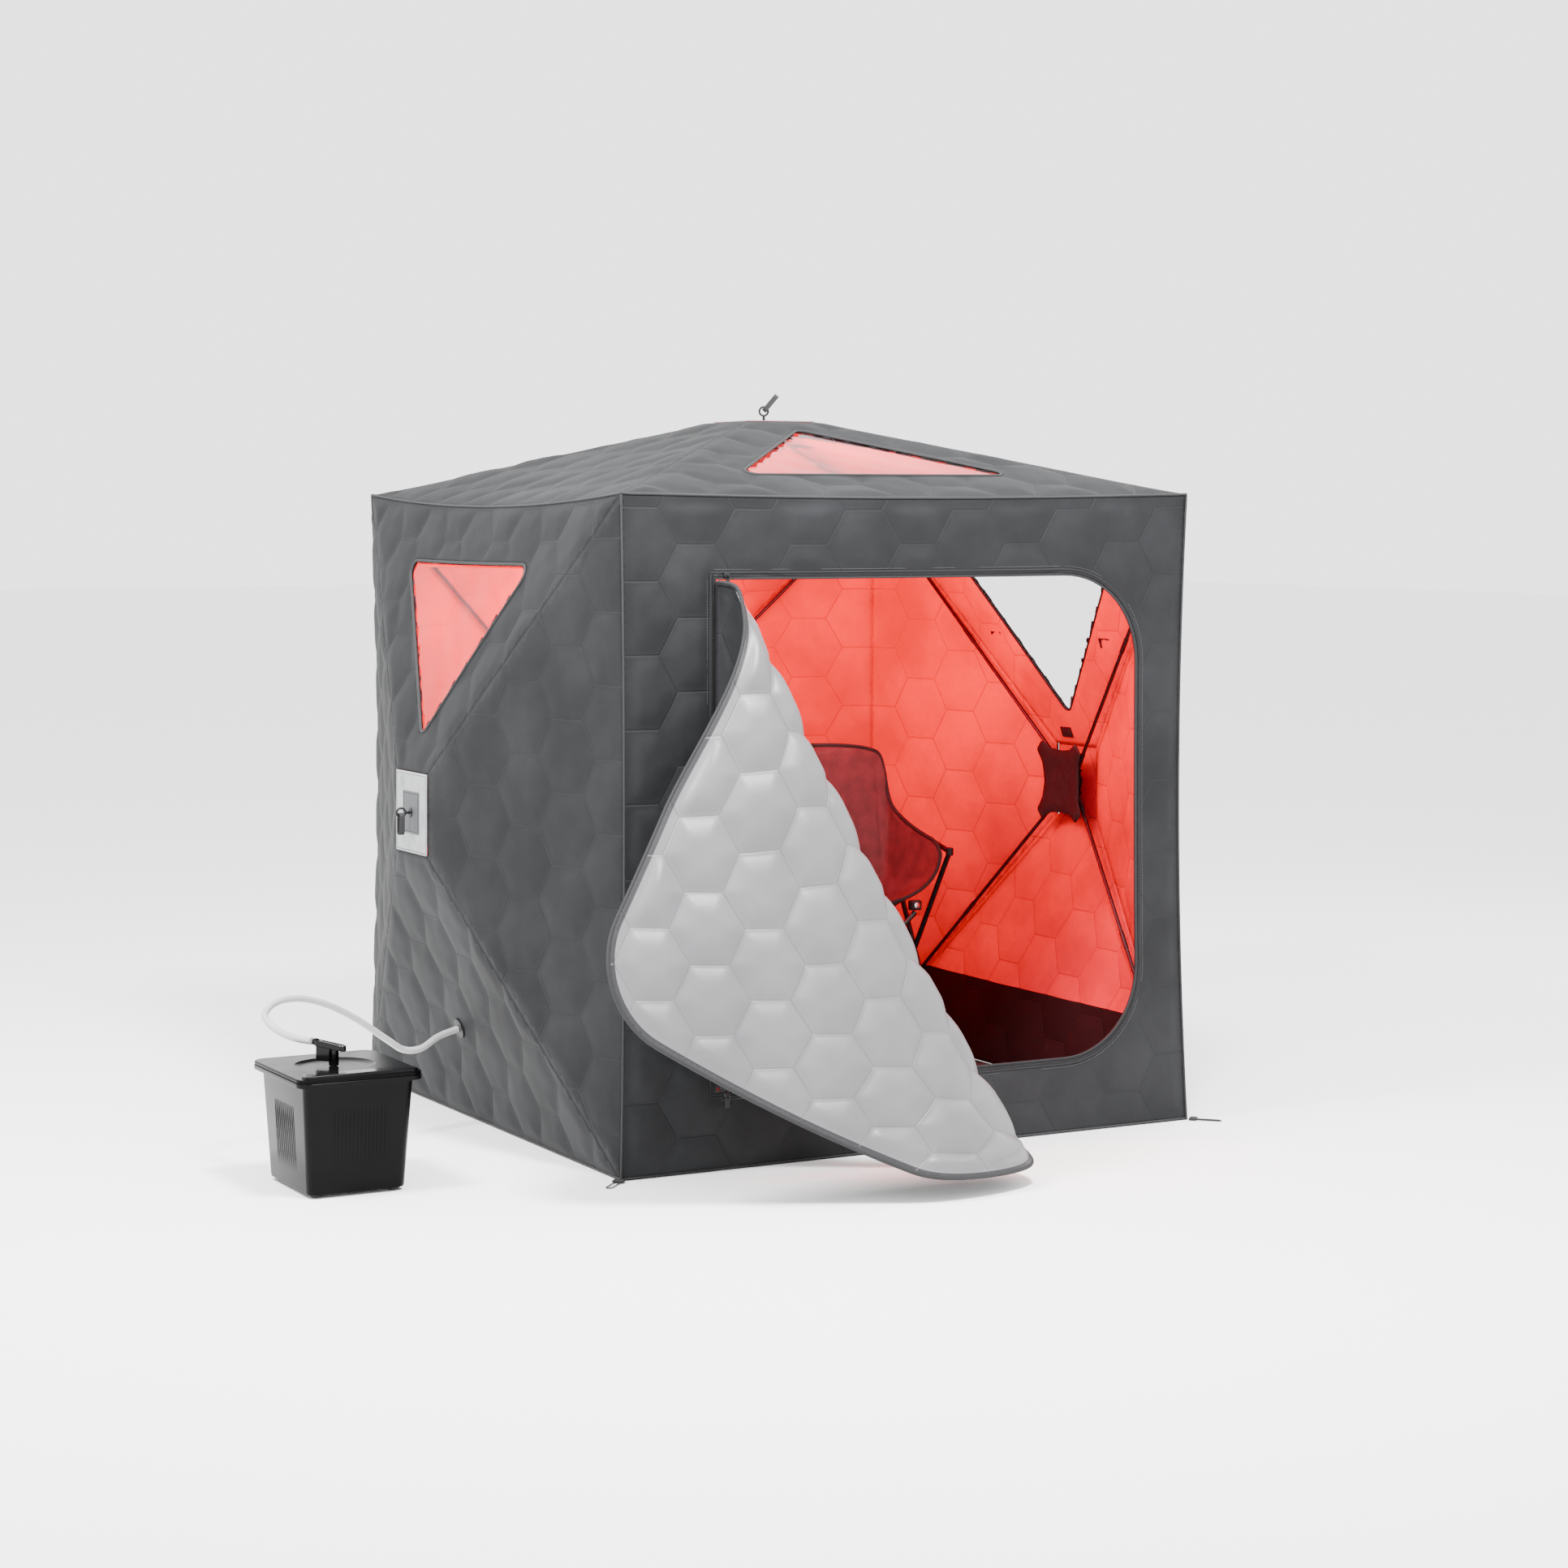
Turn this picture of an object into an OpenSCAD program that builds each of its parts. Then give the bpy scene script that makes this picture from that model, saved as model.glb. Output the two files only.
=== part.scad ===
// Portable steam sauna: hub tent, open door flap, steam pot, hose and chair.
// Millimetres. X runs along the front wall, Y to the back, Z up.
// The origin is the middle of the floor, on the ground.

/* [Tent] */
// side of the square floor
tent_side = 1800; // [1500:10:2200]
// height of the eaves above the ground
eave_height = 1800; // [1500:10:2200]
// how far each wall hub stands out of its wall plane
wall_bulge = 225; // [100:5:320]
// how far the roof hub rises above the eaves
roof_rise = 215; // [100:5:320]
// padded wall thickness
wall_thick = 8; // [4:1:14]
// half side of the square cut-out round each hub
hub_square = 115; // [80:5:160]
// gap left between neighbouring wall facets
seam_gap = 0.5; // [0.3:0.1:1.5]
// thickness of the floor sheet
floor_thick = 5; // [3:1:10]

/* [Doorway] */
// left edge of the doorway
door_left = -625; // [-700:5:-500]
// bottom edge of the doorway
door_base = 210; // [120:5:300]
// flat width of the door flap
door_width = 1355; // [1000:5:1500]
// flat height of the door flap
door_height = 1365; // [1000:5:1500]
// radius of the two rounded corners
door_round = 250; // [100:5:350]
// thickness of the padded flap
leaf_thick = 8; // [5:1:14]
// width of the zip band round the doorway
zip_width = 16; // [10:1:24]
// length of each zip pull
pull_length = 36; // [20:1:50]

/* [Windows] */
// thickness of the clear panes
pane_thick = 2; // [1:0.5:4]
// radius of the window corners
window_round = 45; // [20:5:80]

/* [Poles and hubs] */
// radius of the glass-fibre rods
rod_radius = 5.5; // [4:0.5:7]
// radius of the hub core
core_radius = 45; // [35:1:60]
// distance of each rod pivot from the hub centre
pivot_radius = 55; // [50:1:70]
// depth of the rod pivots below the hub top
pivot_depth = 30; // [25:1:40]
// distance of the rod tips from the panel centre, along each side
tip_reach = 850; // [800:5:865]

/* [Steam pot] */
// pot centre, left of the tent
pot_x = -1566; // [-1700:2:-1450]
// pot centre, front to back
pot_y = -580; // [-800:5:-300]
// outer width of the pot at the rim
pot_width = 300; // [220:2:340]
// outer depth of the pot at the rim
pot_depth = 346; // [260:2:420]
// how much narrower the pot is at its base
pot_taper = 34; // [10:1:60]
// height of the rim above the ground
pot_height = 300; // [220:5:360]
// wall of the pot
pot_wall = 4; // [3:0.5:8]
// Overhang of the pot rim
pot_rim = 20; // [6:1:30]

/* [Hose] */
// outer radius of the steam hose
hose_radius = 9.5; // [8:0.5:14]

/* [Chair] */
// chair centre across the tent
chair_x = 300; // [200:5:340]
// half width of the sling
sling_half = 325; // [260:5:345]
// thickness of the sling cloth
sling_thick = 8; // [5:1:12]
// radius of the chair tubes
tube_radius = 8; // [6:0.5:12]

/* [Hidden] */
$fn = 32;
half = tent_side / 2;
panel_half = half - 9;
wall_top = eave_height - 10;
door_right = door_left + door_width;
door_top = door_base + door_height;
wall_pitch = atan(wall_bulge / (half - hub_square));
tip_height = -6;
round_sides = 12;

// Flap lines for the open door: bottom, middle and top rows, hinge to free edge.
door_rows = [0, 680, 1365];
door_net = [
    [[-625, -907, 224], [-290, -1080, 150], [50, -1280, 90], [20, -1450, 50], [-200, -1570, 12]],
    [[-625, -907, 890], [-460, -1050, 870], [-340, -1240, 800], [-480, -1360, 500], [-680, -1400, 230]],
    [[-625, -907, 1566], [-600, -980, 1550], [-610, -1040, 1480], [-900, -1150, 980], [-1180, -1250, 540]]
];
leaf_columns = 24;
leaf_steps = 12;

// Route of the steam hose from the spout to the wall port.
hose_route = [
    [-1612, -515, 366], [-1634, -450, 366], [-1646, -380, 370], [-1655, -310, 384],
    [-1648, -250, 404], [-1600, -205, 425], [-1525, -170, 425], [-1440, -142, 401],
    [-1340, -112, 350], [-1230, -78, 276], [-1170, -50, 240], [-1110, -30, 236],
    [-1050, -12, 262], [-987, 0, 277]
];
hose_steps = 4;
hose_sides = 10;

// Chair profile from the front lip to the top of the back: depth and height.
seat_line = [[0, 545], [90, 500], [200, 450], [290, 470], [325, 620], [345, 820], [360, 1015]];
// Rise of the sling edge above the middle line at the same stations.
edge_rise = [180, 240, 320, 340, 230, 90, -60];
sling_across = 14;

module body_colour() {
    color([0.17, 0.18, 0.20]) children();
}

// Places a child drawn flat, outward up, on one upright wall.
module on_wall(turn) {
    rotate([0, 0, turn])
        translate([0, -half, eave_height / 2])
            rotate([90, 0, 0])
                children();
}

module on_roof() {
    translate([0, 0, eave_height])
        children();
}

// One sloped trapezoid of a bulging panel, from the outer edge to the hub square.
module facet(bulge) {
    drop = wall_thick / cos(atan(bulge / (half - hub_square)));
    intersection() {
        rotate([90, 0, 90])
            linear_extrude(height = tent_side + 20, center = true)
                polygon([
                    [-half, -drop], [-hub_square, bulge - drop],
                    [-hub_square, bulge], [-half, 0]
                ]);
        translate([0, 0, -50])
            linear_extrude(height = bulge + 100)
                polygon([
                    [-half + seam_gap, -half], [half - seam_gap, -half],
                    [hub_square - seam_gap, -hub_square], [-hub_square + seam_gap, -hub_square]
                ]);
    }
}

// Four facets trimmed to the panel outline.
module panel(bulge, half_u, top_v) {
    intersection() {
        union() {
            for (k = [0:3]) {
                rotate([0, 0, 90 * k])
                    facet(bulge);
            }
        }
        translate([-half_u, -half, -60])
            cube([2 * half_u, half + top_v, bulge + 120]);
    }
}

// Rounded triangle used by the clear windows.
module window_shape(points, grow) {
    offset(r = window_round + grow)
        offset(delta = -window_round)
            polygon(points);
}

side_window_points = [[-450, 715], [450, 715], [0, 212]];
roof_window_points = [[-450, -700], [450, -700], [0, -210]];

module side_window_cut() {
    translate([0, 0, -60])
        linear_extrude(height = wall_bulge + 120)
            window_shape(side_window_points, 1);
}

module roof_window_cut() {
    translate([0, 0, -60])
        linear_extrude(height = roof_rise + 120)
            window_shape(roof_window_points, 1);
}

// Clear sheet lying in the middle of a facet. turn picks the facet.
module pane(bulge, turn) {
    slope = bulge / (half - hub_square);
    rise = pane_thick / cos(atan(slope));
    low = wall_thick / cos(atan(slope)) / 2 + rise / 2;
    rotate([0, 0, turn])
        rotate([90, 0, 90])
            linear_extrude(height = tent_side, center = true)
                polygon([
                    [-half, -low], [-hub_square, bulge - low],
                    [-hub_square, bulge - low + rise], [-half, -low + rise]
                ]);
}

module side_window(turn) {
    color([0.75, 0.82, 0.88, 0.4])
        on_wall(turn)
            intersection() {
                pane(wall_bulge, 180);
                translate([0, 0, -60])
                    linear_extrude(height = wall_bulge + 120)
                        window_shape(side_window_points, 0);
            }
}

module roof_window() {
    color([0.75, 0.82, 0.88, 0.4])
        on_roof()
            intersection() {
                pane(roof_rise, 0);
                translate([0, 0, -60])
                    linear_extrude(height = roof_rise + 120)
                        window_shape(roof_window_points, 0);
            }
}

module doorway(grow) {
    left = door_left - grow;
    right = door_right + grow;
    low = door_base - grow;
    high = door_top + grow;
    bend = door_round + grow;
    union() {
        translate([left, low])
            square([right - bend - left, high - low]);
        translate([left, low + bend])
            square([right - left, high - low - 2 * bend]);
        for (z = [low + bend, high - bend]) {
            translate([right - bend, z])
                circle(r = bend, $fn = 48);
        }
    }
}

module front_wall() {
    body_colour()
        translate([0, -half + wall_thick, 0])
            rotate([90, 0, 0])
                linear_extrude(height = wall_thick)
                    difference() {
                        translate([-panel_half, 0])
                            square([2 * panel_half, wall_top]);
                        doorway(0);
                    }
}

module zip_track() {
    color([0.08, 0.08, 0.08])
        translate([0, -half, 0])
            rotate([90, 0, 0])
                linear_extrude(height = 2)
                    difference() {
                        doorway(zip_width);
                        doorway(0);
                    }
}

port_v = -621;
port_w = (half + port_v) * wall_bulge / (half - hub_square);

module left_wall() {
    body_colour()
        on_wall(-90)
            difference() {
                panel(wall_bulge, half, wall_top - eave_height / 2);
                side_window_cut();
                translate([0, port_v, port_w])
                    rotate([wall_pitch, 0, 0])
                        cylinder(r = 20.5, h = 60, center = true);
            }
}

module right_wall() {
    body_colour()
        on_wall(90)
            difference() {
                panel(wall_bulge, half, wall_top - eave_height / 2);
                side_window_cut();
            }
}

module back_wall() {
    body_colour()
        on_wall(180)
            panel(wall_bulge, panel_half, wall_top - eave_height / 2);
}

module roof() {
    body_colour()
        on_roof()
            difference() {
                panel(roof_rise, half, half);
                roof_window_cut();
            }
}

module floor_mat() {
    color([0.10, 0.10, 0.11])
        translate([-half + 11, -half + 11, 0])
            cube([tent_side - 22, tent_side - 22, floor_thick]);
}

module hose_port() {
    color([0.05, 0.05, 0.05])
        on_wall(-90)
            translate([0, port_v, port_w])
                rotate([wall_pitch, 0, 0])
                    difference() {
                        union() {
                            translate([0, 0, -14])
                                cylinder(r = 20, h = 18);
                            translate([0, 0, 0.2])
                                cylinder(r = 28, h = 4);
                        }
                        translate([0, 0, -20])
                            cylinder(r = 10.5, h = 40);
                    }
}

// Corner sleeves stand beyond the rod tips, low and high in each upright corner.
module corner_pockets() {
    color([0.06, 0.06, 0.07])
        for (sx = [-1, 1], sy = [-1, 1]) {
            for (z = [floor_thick, wall_top - 60]) {
                translate([sx * (half - 17), sy * (half - 17), z + 28])
                    cube([14, 14, 56], center = true);
            }
        }
}

module ground_loops() {
    color([0.06, 0.06, 0.07])
        for (k = [0:3]) {
            rotate([0, 0, 45 + 90 * k])
                translate([(half + 4) * sqrt(2), 0, 0])
                    difference() {
                        hull() {
                            for (x = [10, 82]) {
                                translate([x, 0, 0])
                                    cylinder(r = 10, h = 3, $fn = round_sides);
                            }
                        }
                        hull() {
                            for (x = [10, 82]) {
                                translate([x, 0, -1])
                                    cylinder(r = 6, h = 5, $fn = round_sides);
                            }
                        }
                    }
        }
}

// Hook-and-loop tabs on the lining below and beside each side window.
module window_tabs() {
    color([0.04, 0.04, 0.04])
        for (turn = [-90, 90]) {
            on_wall(turn)
                for (spot = [[-310, 450], [310, 450], [30, 156]]) {
                    translate([spot[0], spot[1], (half - spot[1]) * wall_bulge / (half - hub_square)])
                        rotate([-wall_pitch, 0, 0])
                            translate([-30, -17, -wall_thick - 3.2])
                                cube([60, 34, 3]);
                }
        }
}

// Hub core: disc, boss, four forked lugs and the eye bolt.
module hub(bulge, spin) {
    base = bulge - pivot_depth;
    color([0.05, 0.05, 0.06]) {
        translate([0, 0, base - 12])
            cylinder(r = core_radius, h = 24);
        translate([0, 0, base + 12])
            cylinder(r = 20, h = pivot_depth - 11);
        for (k = [0:3]) {
            rotate([0, 0, 45 + 90 * k])
                translate([pivot_radius, 0, base]) {
                    for (s = [-1, 1]) {
                        translate([-17, s * 8.2 - 2, -9])
                            cube([25, 4, 18]);
                    }
                    rotate([90, 0, 0])
                        cylinder(r = 3, h = 20, center = true);
                }
        }
        translate([0, 0, bulge])
            cylinder(r = 4, h = 22);
        translate([0, 0, bulge + 5])
            cylinder(r = 13, h = 2);
        translate([0, 0, bulge + 34])
            rotate([0, 90, spin])
                rotate_extrude()
                    translate([13, 0])
                        circle(r = 3, $fn = 16);
    }
}

module hub_patch(bulge) {
    color([0.72, 0.73, 0.75])
        difference() {
            union() {
                translate([-110, -110, bulge + 1])
                    cube([220, 220, 2]);
                translate([-59, -59, bulge + 3])
                    cube([118, 118, 2]);
            }
            cylinder(r = 5, h = bulge + 20);
        }
}

// Webbing loop through the eye. lean tips it outward from the panel.
module hub_strap(bulge, lean) {
    color([0.07, 0.07, 0.08])
        translate([0, 0, bulge + 34])
            rotate([-lean, 0, 0])
                linear_extrude(height = 12, center = true)
                    difference() {
                        hull() {
                            translate([0, -11])
                                circle(r = 12);
                            translate([0, -52])
                                circle(r = 12);
                        }
                        hull() {
                            translate([0, -11])
                                circle(r = 10);
                            translate([0, -52])
                                circle(r = 10);
                        }
                    }
}

// One rod from its hub pivot to a panel corner.
module pole(bulge, k) {
    run = tip_reach * sqrt(2) - pivot_radius;
    fall = bulge - pivot_depth - tip_height;
    length = sqrt(run * run + fall * fall);
    color([0.04, 0.04, 0.05])
        rotate([0, 0, 45 + 90 * k])
            translate([pivot_radius, 0, bulge - pivot_depth])
                rotate([0, atan(fall / run), 0])
                    difference() {
                        union() {
                            rotate([90, 0, 0])
                                cylinder(r = 8, h = 10.4, center = true);
                            rotate([0, 90, 0])
                                cylinder(r = rod_radius, h = length, $fn = 20);
                            translate([12, 0, 0])
                                rotate([0, 90, 0])
                                    cylinder(r = 7.5, h = 60, $fn = 20);
                            translate([length / 2 - 30, 0, 0])
                                rotate([0, 90, 0])
                                    cylinder(r = 7, h = 60, $fn = 20);
                            translate([length - 40, 0, 0])
                                rotate([0, 90, 0])
                                    cylinder(r = 7.5, h = 40, $fn = 20);
                        }
                        rotate([90, 0, 0])
                            cylinder(r = 3.6, h = 20, center = true);
                    }
}

// Flap surface: a smooth line along each row, blended up the height.
function fold_at(h) = 200 + 750 * (1 - h / door_height);
function knot(r, i) =
    let (f = fold_at(door_rows[r]))
    [0, f / 2, f, (f + door_width) / 2, door_width][i];
function grade(r, i) =
    (door_net[r][i + 1] - door_net[r][i]) / (knot(r, i + 1) - knot(r, i));
function slope_at(r, i) =
    i == 0 ? grade(r, 0)
    : i == 4 ? grade(r, 3)
    : let (
        before = knot(r, i) - knot(r, i - 1),
        after = knot(r, i + 1) - knot(r, i)
    ) (grade(r, i - 1) * after + grade(r, i) * before) / (before + after);
function row_point(r, q) =
    let (
        i = max(0, min(3, floor(q))),
        s = q - i,
        span = knot(r, i + 1) - knot(r, i)
    )
    door_net[r][i] * (2 * s * s * s - 3 * s * s + 1)
    + slope_at(r, i) * span * (s * s * s - 2 * s * s + s)
    + door_net[r][i + 1] * (3 * s * s - 2 * s * s * s)
    + slope_at(r, i + 1) * span * (s * s * s - s * s);
function flap_point(a, h) =
    let (
        f = fold_at(h),
        q = a <= f ? 2 * a / f : 2 + 2 * (a - f) / (door_width - f),
        b = door_rows[1],
        c = door_rows[2]
    )
    row_point(0, q) * ((h - b) * (h - c) / (b * c))
    + row_point(1, q) * (h * (h - c) / (b * (b - c)))
    + row_point(2, q) * (h * (h - b) / (c * (c - b)));
function flap_normal(a, h) =
    let (n = cross(flap_point(a + 1, h) - flap_point(a - 1, h), flap_point(a, h + 1) - flap_point(a, h - 1)))
    n / norm(n);
function corner_drop(a) =
    a <= door_width - door_round ? 0
    : door_round - sqrt(max(0, door_round * door_round - pow(a - door_width + door_round, 2)));
function column_at(i) =
    door_width * (0.5 * i / leaf_columns + 0.5 * sin(90 * i / leaf_columns));
function row_at(a, j) =
    corner_drop(a) + (door_height - 2 * corner_drop(a)) * j / leaf_steps;
function flap_side(offset_by) = [
    for (i = [0:leaf_columns], j = [0:leaf_steps])
        let (a = column_at(i), h = row_at(a, j))
        flap_point(a, h) + flap_normal(a, h) * offset_by
];

// Faces of a closed sheet with (n + 1) x (m + 1) points on each side.
function sheet_faces(n, m) =
    let (
        w = m + 1,
        total = (n + 1) * w,
        top = [for (i = [0:n - 1], j = [0:m - 1])
            each [
                [i * w + j, (i + 1) * w + j + 1, (i + 1) * w + j],
                [i * w + j, i * w + j + 1, (i + 1) * w + j + 1]
            ]],
        under = [for (f = top) [f[0] + total, f[2] + total, f[1] + total]],
        low = [for (i = [0:n - 1]) [i * w, (i + 1) * w, (i + 1) * w + total, i * w + total]],
        high = [for (i = [0:n - 1])
            [i * w + m, i * w + m + total, (i + 1) * w + m + total, (i + 1) * w + m]],
        first = [for (j = [0:m - 1]) [j, j + total, j + 1 + total, j + 1]],
        last = [for (j = [0:m - 1])
            [n * w + j, n * w + j + 1, n * w + j + 1 + total, n * w + j + total]],
        rims = concat(low, high, first, last)
    )
    concat(top, under, [for (f = rims) [f[0], f[1], f[2]]], [for (f = rims) [f[0], f[2], f[3]]]);

module door_leaf() {
    color([0.80, 0.80, 0.82])
        polyhedron(
            points = concat(flap_side(leaf_thick / 2), flap_side(-leaf_thick / 2)),
            faces = sheet_faces(leaf_columns, leaf_steps)
        );
}

// Zip slider riding on the zip band at height z.
slider_x = -592;

module slider(z) {
    color([0.09, 0.09, 0.09])
        translate([slider_x, -half - 2.4, z])
            difference() {
                union() {
                    translate([-9, -6, -6])
                        cube([18, 6, 12]);
                    translate([-3.6, -11, -3])
                        cube([7.2, 6, 6]);
                }
                translate([0, -8.6, 0])
                    rotate([0, 90, 0])
                        cylinder(r = 1.5, h = 12, center = true, $fn = 16);
            }
}

// Zip pull: a wire bail through the slider eye and a flat tab.
module zip_pull(z) {
    color([0.12, 0.12, 0.12])
        translate([slider_x, -half - 11, z]) {
            rotate([0, 90, 0])
                cylinder(r = 1, h = 13, center = true, $fn = 16);
            for (s = [-1, 1]) {
                translate([s * 5.5 - 1, -1, -12])
                    cube([2, 2, 13]);
            }
            translate([-6.5, -1, -pull_length])
                cube([13, 2, pull_length - 11]);
        }
}

// Rounded tapering box: width and depth at the base, then at the top.
module tapered_box(w0, d0, w1, d1, z0, z1, r) {
    hull() {
        for (sx = [-1, 1], sy = [-1, 1]) {
            translate([sx * (w0 / 2 - r), sy * (d0 / 2 - r), z0])
                cylinder(r = r, h = 1, $fn = 24);
            translate([sx * (w1 / 2 - r), sy * (d1 / 2 - r), z1 - 1])
                cylinder(r = r, h = 1, $fn = 24);
        }
    }
}

pot_floor = 8;

// One level of the rounded pot outline.
corner_steps = 5;
function pot_ring(w, d, z, r) = [
    for (c = [[1, 1, 0], [-1, 1, 90], [-1, -1, 180], [1, -1, 270]], k = [0:corner_steps])
        let (turn = c[2] + 90 * k / corner_steps)
        [c[0] * (w / 2 - r) + r * cos(turn), c[1] * (d / 2 - r) + r * sin(turn), z]
];

// The pot skin runs up the outside, over the flange and down the inside.
module steam_tank() {
    base_w = pot_width - pot_taper;
    base_d = pot_depth - pot_taper;
    inner = 2 * pot_wall;
    rings = [
        pot_ring(base_w, base_d, pot_floor, 25),
        pot_ring(pot_width, pot_depth, pot_height - 12, 25),
        pot_ring(pot_width + 2 * pot_rim, pot_depth + 2 * pot_rim, pot_height - 12, 36),
        pot_ring(pot_width + 2 * pot_rim, pot_depth + 2 * pot_rim, pot_height, 36),
        pot_ring(pot_width - inner, pot_depth - inner, pot_height, 22),
        pot_ring(base_w - inner, base_d - inner, pot_floor + pot_wall, 22)
    ];
    n = len(rings[0]);
    last = len(rings) - 1;
    color([0.03, 0.03, 0.035])
        translate([pot_x, pot_y, 0])
            polyhedron(
                points = [for (r = rings) each r],
                faces = concat(
                    [[for (k = [0:n - 1]) k]],
                    [for (i = [0:last - 1], k = [0:n - 1])
                        let (a = i * n + k, b = i * n + (k + 1) % n)
                        each [[a, b + n, b], [a, a + n, b + n]]],
                    [[for (k = [n - 1:-1:0]) last * n + k]]
                )
            );
}

module tank_feet() {
    color([0.02, 0.02, 0.02])
        for (sx = [-1, 1], sy = [-1, 1]) {
            translate([
                pot_x + sx * (pot_width / 2 - 45),
                pot_y + sy * (pot_depth / 2 - 45),
                0
            ])
                cylinder(r1 = 12, r2 = 14, h = pot_floor);
        }
}

// Immersion heater ring on two stubs, standing on the pot floor.
module heater() {
    color([0.6, 0.6, 0.6])
        translate([pot_x, pot_y, pot_floor + pot_wall]) {
            translate([0, 0, 24])
                rotate_extrude()
                    translate([70, 0])
                        circle(r = 5, $fn = 16);
            for (s = [-1, 1]) {
                translate([0, s * 70, 0])
                    cylinder(r = 5, h = 24);
            }
        }
}

// Appliance inlet box on the back of the pot, with three pins.
module power_inlet() {
    color([0.02, 0.02, 0.02])
        translate([pot_x, pot_y + pot_depth / 2 - 11, 60]) {
            difference() {
                translate([-20.5, 0, -14.5])
                    cube([41, 18, 29]);
                translate([-17, 5, -11])
                    cube([34, 30, 22]);
            }
            for (x = [-9, 0, 9]) {
                translate([x, 4, 0])
                    rotate([-90, 0, 0])
                        cylinder(r = 1.6, h = 9, $fn = 16);
            }
        }
}

lid_low = pot_height + 1;

module steam_lid() {
    color([0.03, 0.03, 0.035])
        translate([pot_x, pot_y, lid_low])
            difference() {
                union() {
                    tapered_box(
                        pot_width + 2 * pot_rim - 2, pot_depth + 2 * pot_rim - 2,
                        pot_width + 2 * pot_rim - 8, pot_depth + 2 * pot_rim - 8, 0, 9, 35
                    );
                    translate([0, 0, -10])
                        tapered_box(
                            pot_width - 24, pot_depth - 24,
                            pot_width - 24, pot_depth - 24, 0, 11, 20
                        );
                    translate([-pot_width / 2 - 4, -pot_depth / 2 - 10, 8])
                        cube([pot_width + 8, 52, 8]);
                }
                translate([0, 16, 5])
                    cylinder(r = 106, h = 20, $fn = 64);
            }
}

module steam_spout() {
    color([0.05, 0.05, 0.055])
        translate([-1568, -560, lid_low + 5]) {
            cylinder(r = 16, h = 5);
            cylinder(r = 10, h = 48);
            translate([17, -36, 47])
                rotate([0, 0, 122])
                    rotate([0, 83, 0])
                        cylinder(r = 11, h = 94);
        }
}

// Smooth path through the hose route.
hose_last = len(hose_route) - 1;
function route_dir(i) =
    (hose_route[min(i + 1, hose_last)] - hose_route[max(i - 1, 0)])
    / (min(i + 1, hose_last) - max(i - 1, 0));
function route_point(i, s) =
    hose_route[i] * (2 * s * s * s - 3 * s * s + 1)
    + route_dir(i) * (s * s * s - 2 * s * s + s)
    + hose_route[i + 1] * (3 * s * s - 2 * s * s * s)
    + route_dir(i + 1) * (s * s * s - s * s);
hose_path = [
    for (i = [0:hose_last - 1], k = [0:hose_steps - 1]) route_point(i, k / hose_steps),
    hose_route[hose_last]
];
function path_dir(i) =
    let (
        n = len(hose_path) - 1,
        d = hose_path[min(i + 1, n)] - hose_path[max(i - 1, 0)]
    )
    d / norm(d);
function ring_point(i, k) =
    let (
        t = path_dir(i),
        side = cross(t, [0, 0, 1]) / norm(cross(t, [0, 0, 1])),
        up = cross(side, t),
        turn = 360 * k / hose_sides
    )
    hose_path[i] + (side * cos(turn) + up * sin(turn)) * hose_radius;

module steam_hose() {
    rings = len(hose_path);
    color([0.85, 0.86, 0.86])
        polyhedron(
            points = [for (i = [0:rings - 1], k = [0:hose_sides - 1]) ring_point(i, k)],
            faces = concat(
                [[for (k = [hose_sides - 1:-1:0]) k]],
                [for (i = [0:rings - 2], k = [0:hose_sides - 1])
                    let (
                        a = i * hose_sides + k,
                        b = i * hose_sides + (k + 1) % hose_sides
                    )
                    each [[a, b, b + hose_sides], [a, b + hose_sides, a + hose_sides]]],
                [[for (k = [0:hose_sides - 1]) (rings - 1) * hose_sides + k]]
            )
        );
}

// Sling surface: the seat line in the middle, lifted towards the edges.
seat_last = len(seat_line) - 1;
function sling_point(i, j) =
    let (
        s = -1 + 2 * j / sling_across,
        lift = pow(abs(s), 2.4)
    )
    [
        chair_x + sling_half * sin(90 * s),
        seat_line[i][0] + 10 * lift,
        seat_line[i][1] + edge_rise[i] * lift
    ];
function sling_normal(i, j) =
    let (
        du = sling_point(i, min(j + 1, sling_across)) - sling_point(i, max(j - 1, 0)),
        dv = sling_point(min(i + 1, seat_last), j) - sling_point(max(i - 1, 0), j),
        n = cross(dv, du)
    )
    n / norm(n);
function sling_side(offset_by) = [
    for (i = [0:seat_last], j = [0:sling_across])
        sling_point(i, j) + sling_normal(i, j) * offset_by
];

module chair_sling() {
    color([0.12, 0.05, 0.06])
        polyhedron(
            points = concat(sling_side(-sling_thick / 2), sling_side(sling_thick / 2)),
            faces = sheet_faces(seat_last, sling_across)
        );
}

module tube(a, b) {
    d = b - a;
    translate(a)
        rotate([0, acos(d[2] / norm(d)), atan2(d[1], d[0])])
            cylinder(r = tube_radius, h = norm(d), $fn = round_sides);
}

frame_half = 346;
foot_z = 22;
front_foot = [frame_half - 14, -6, foot_z];
back_foot = [frame_half - 14, 424, foot_z];
front_arm = [frame_half, -6, 700];
back_arm = [frame_half, 424, 800];

// Side crosses, arm rails, front and back crosses.
module chair_frame() {
    color([0.03, 0.03, 0.03])
        translate([chair_x, 0, 0]) {
            for (s = [-1, 1]) {
                tube([s * front_foot[0], front_foot[1], foot_z], [s * back_arm[0], 424, 800]);
                tube([s * back_foot[0], back_foot[1], foot_z], [s * front_arm[0], -6, 700]);
                tube([s * front_arm[0], -6, 700], [s * back_arm[0], 424, 800]);
                tube([s * back_arm[0], 424, 800], [s * 300, 424, 985]);
                tube([s * front_foot[0], -6, foot_z + 8], [-s * 215, -18, 520]);
                tube([s * back_foot[0], 424, foot_z + 14], [-s * 300, 424, 985]);
            }
        }
}

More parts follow.
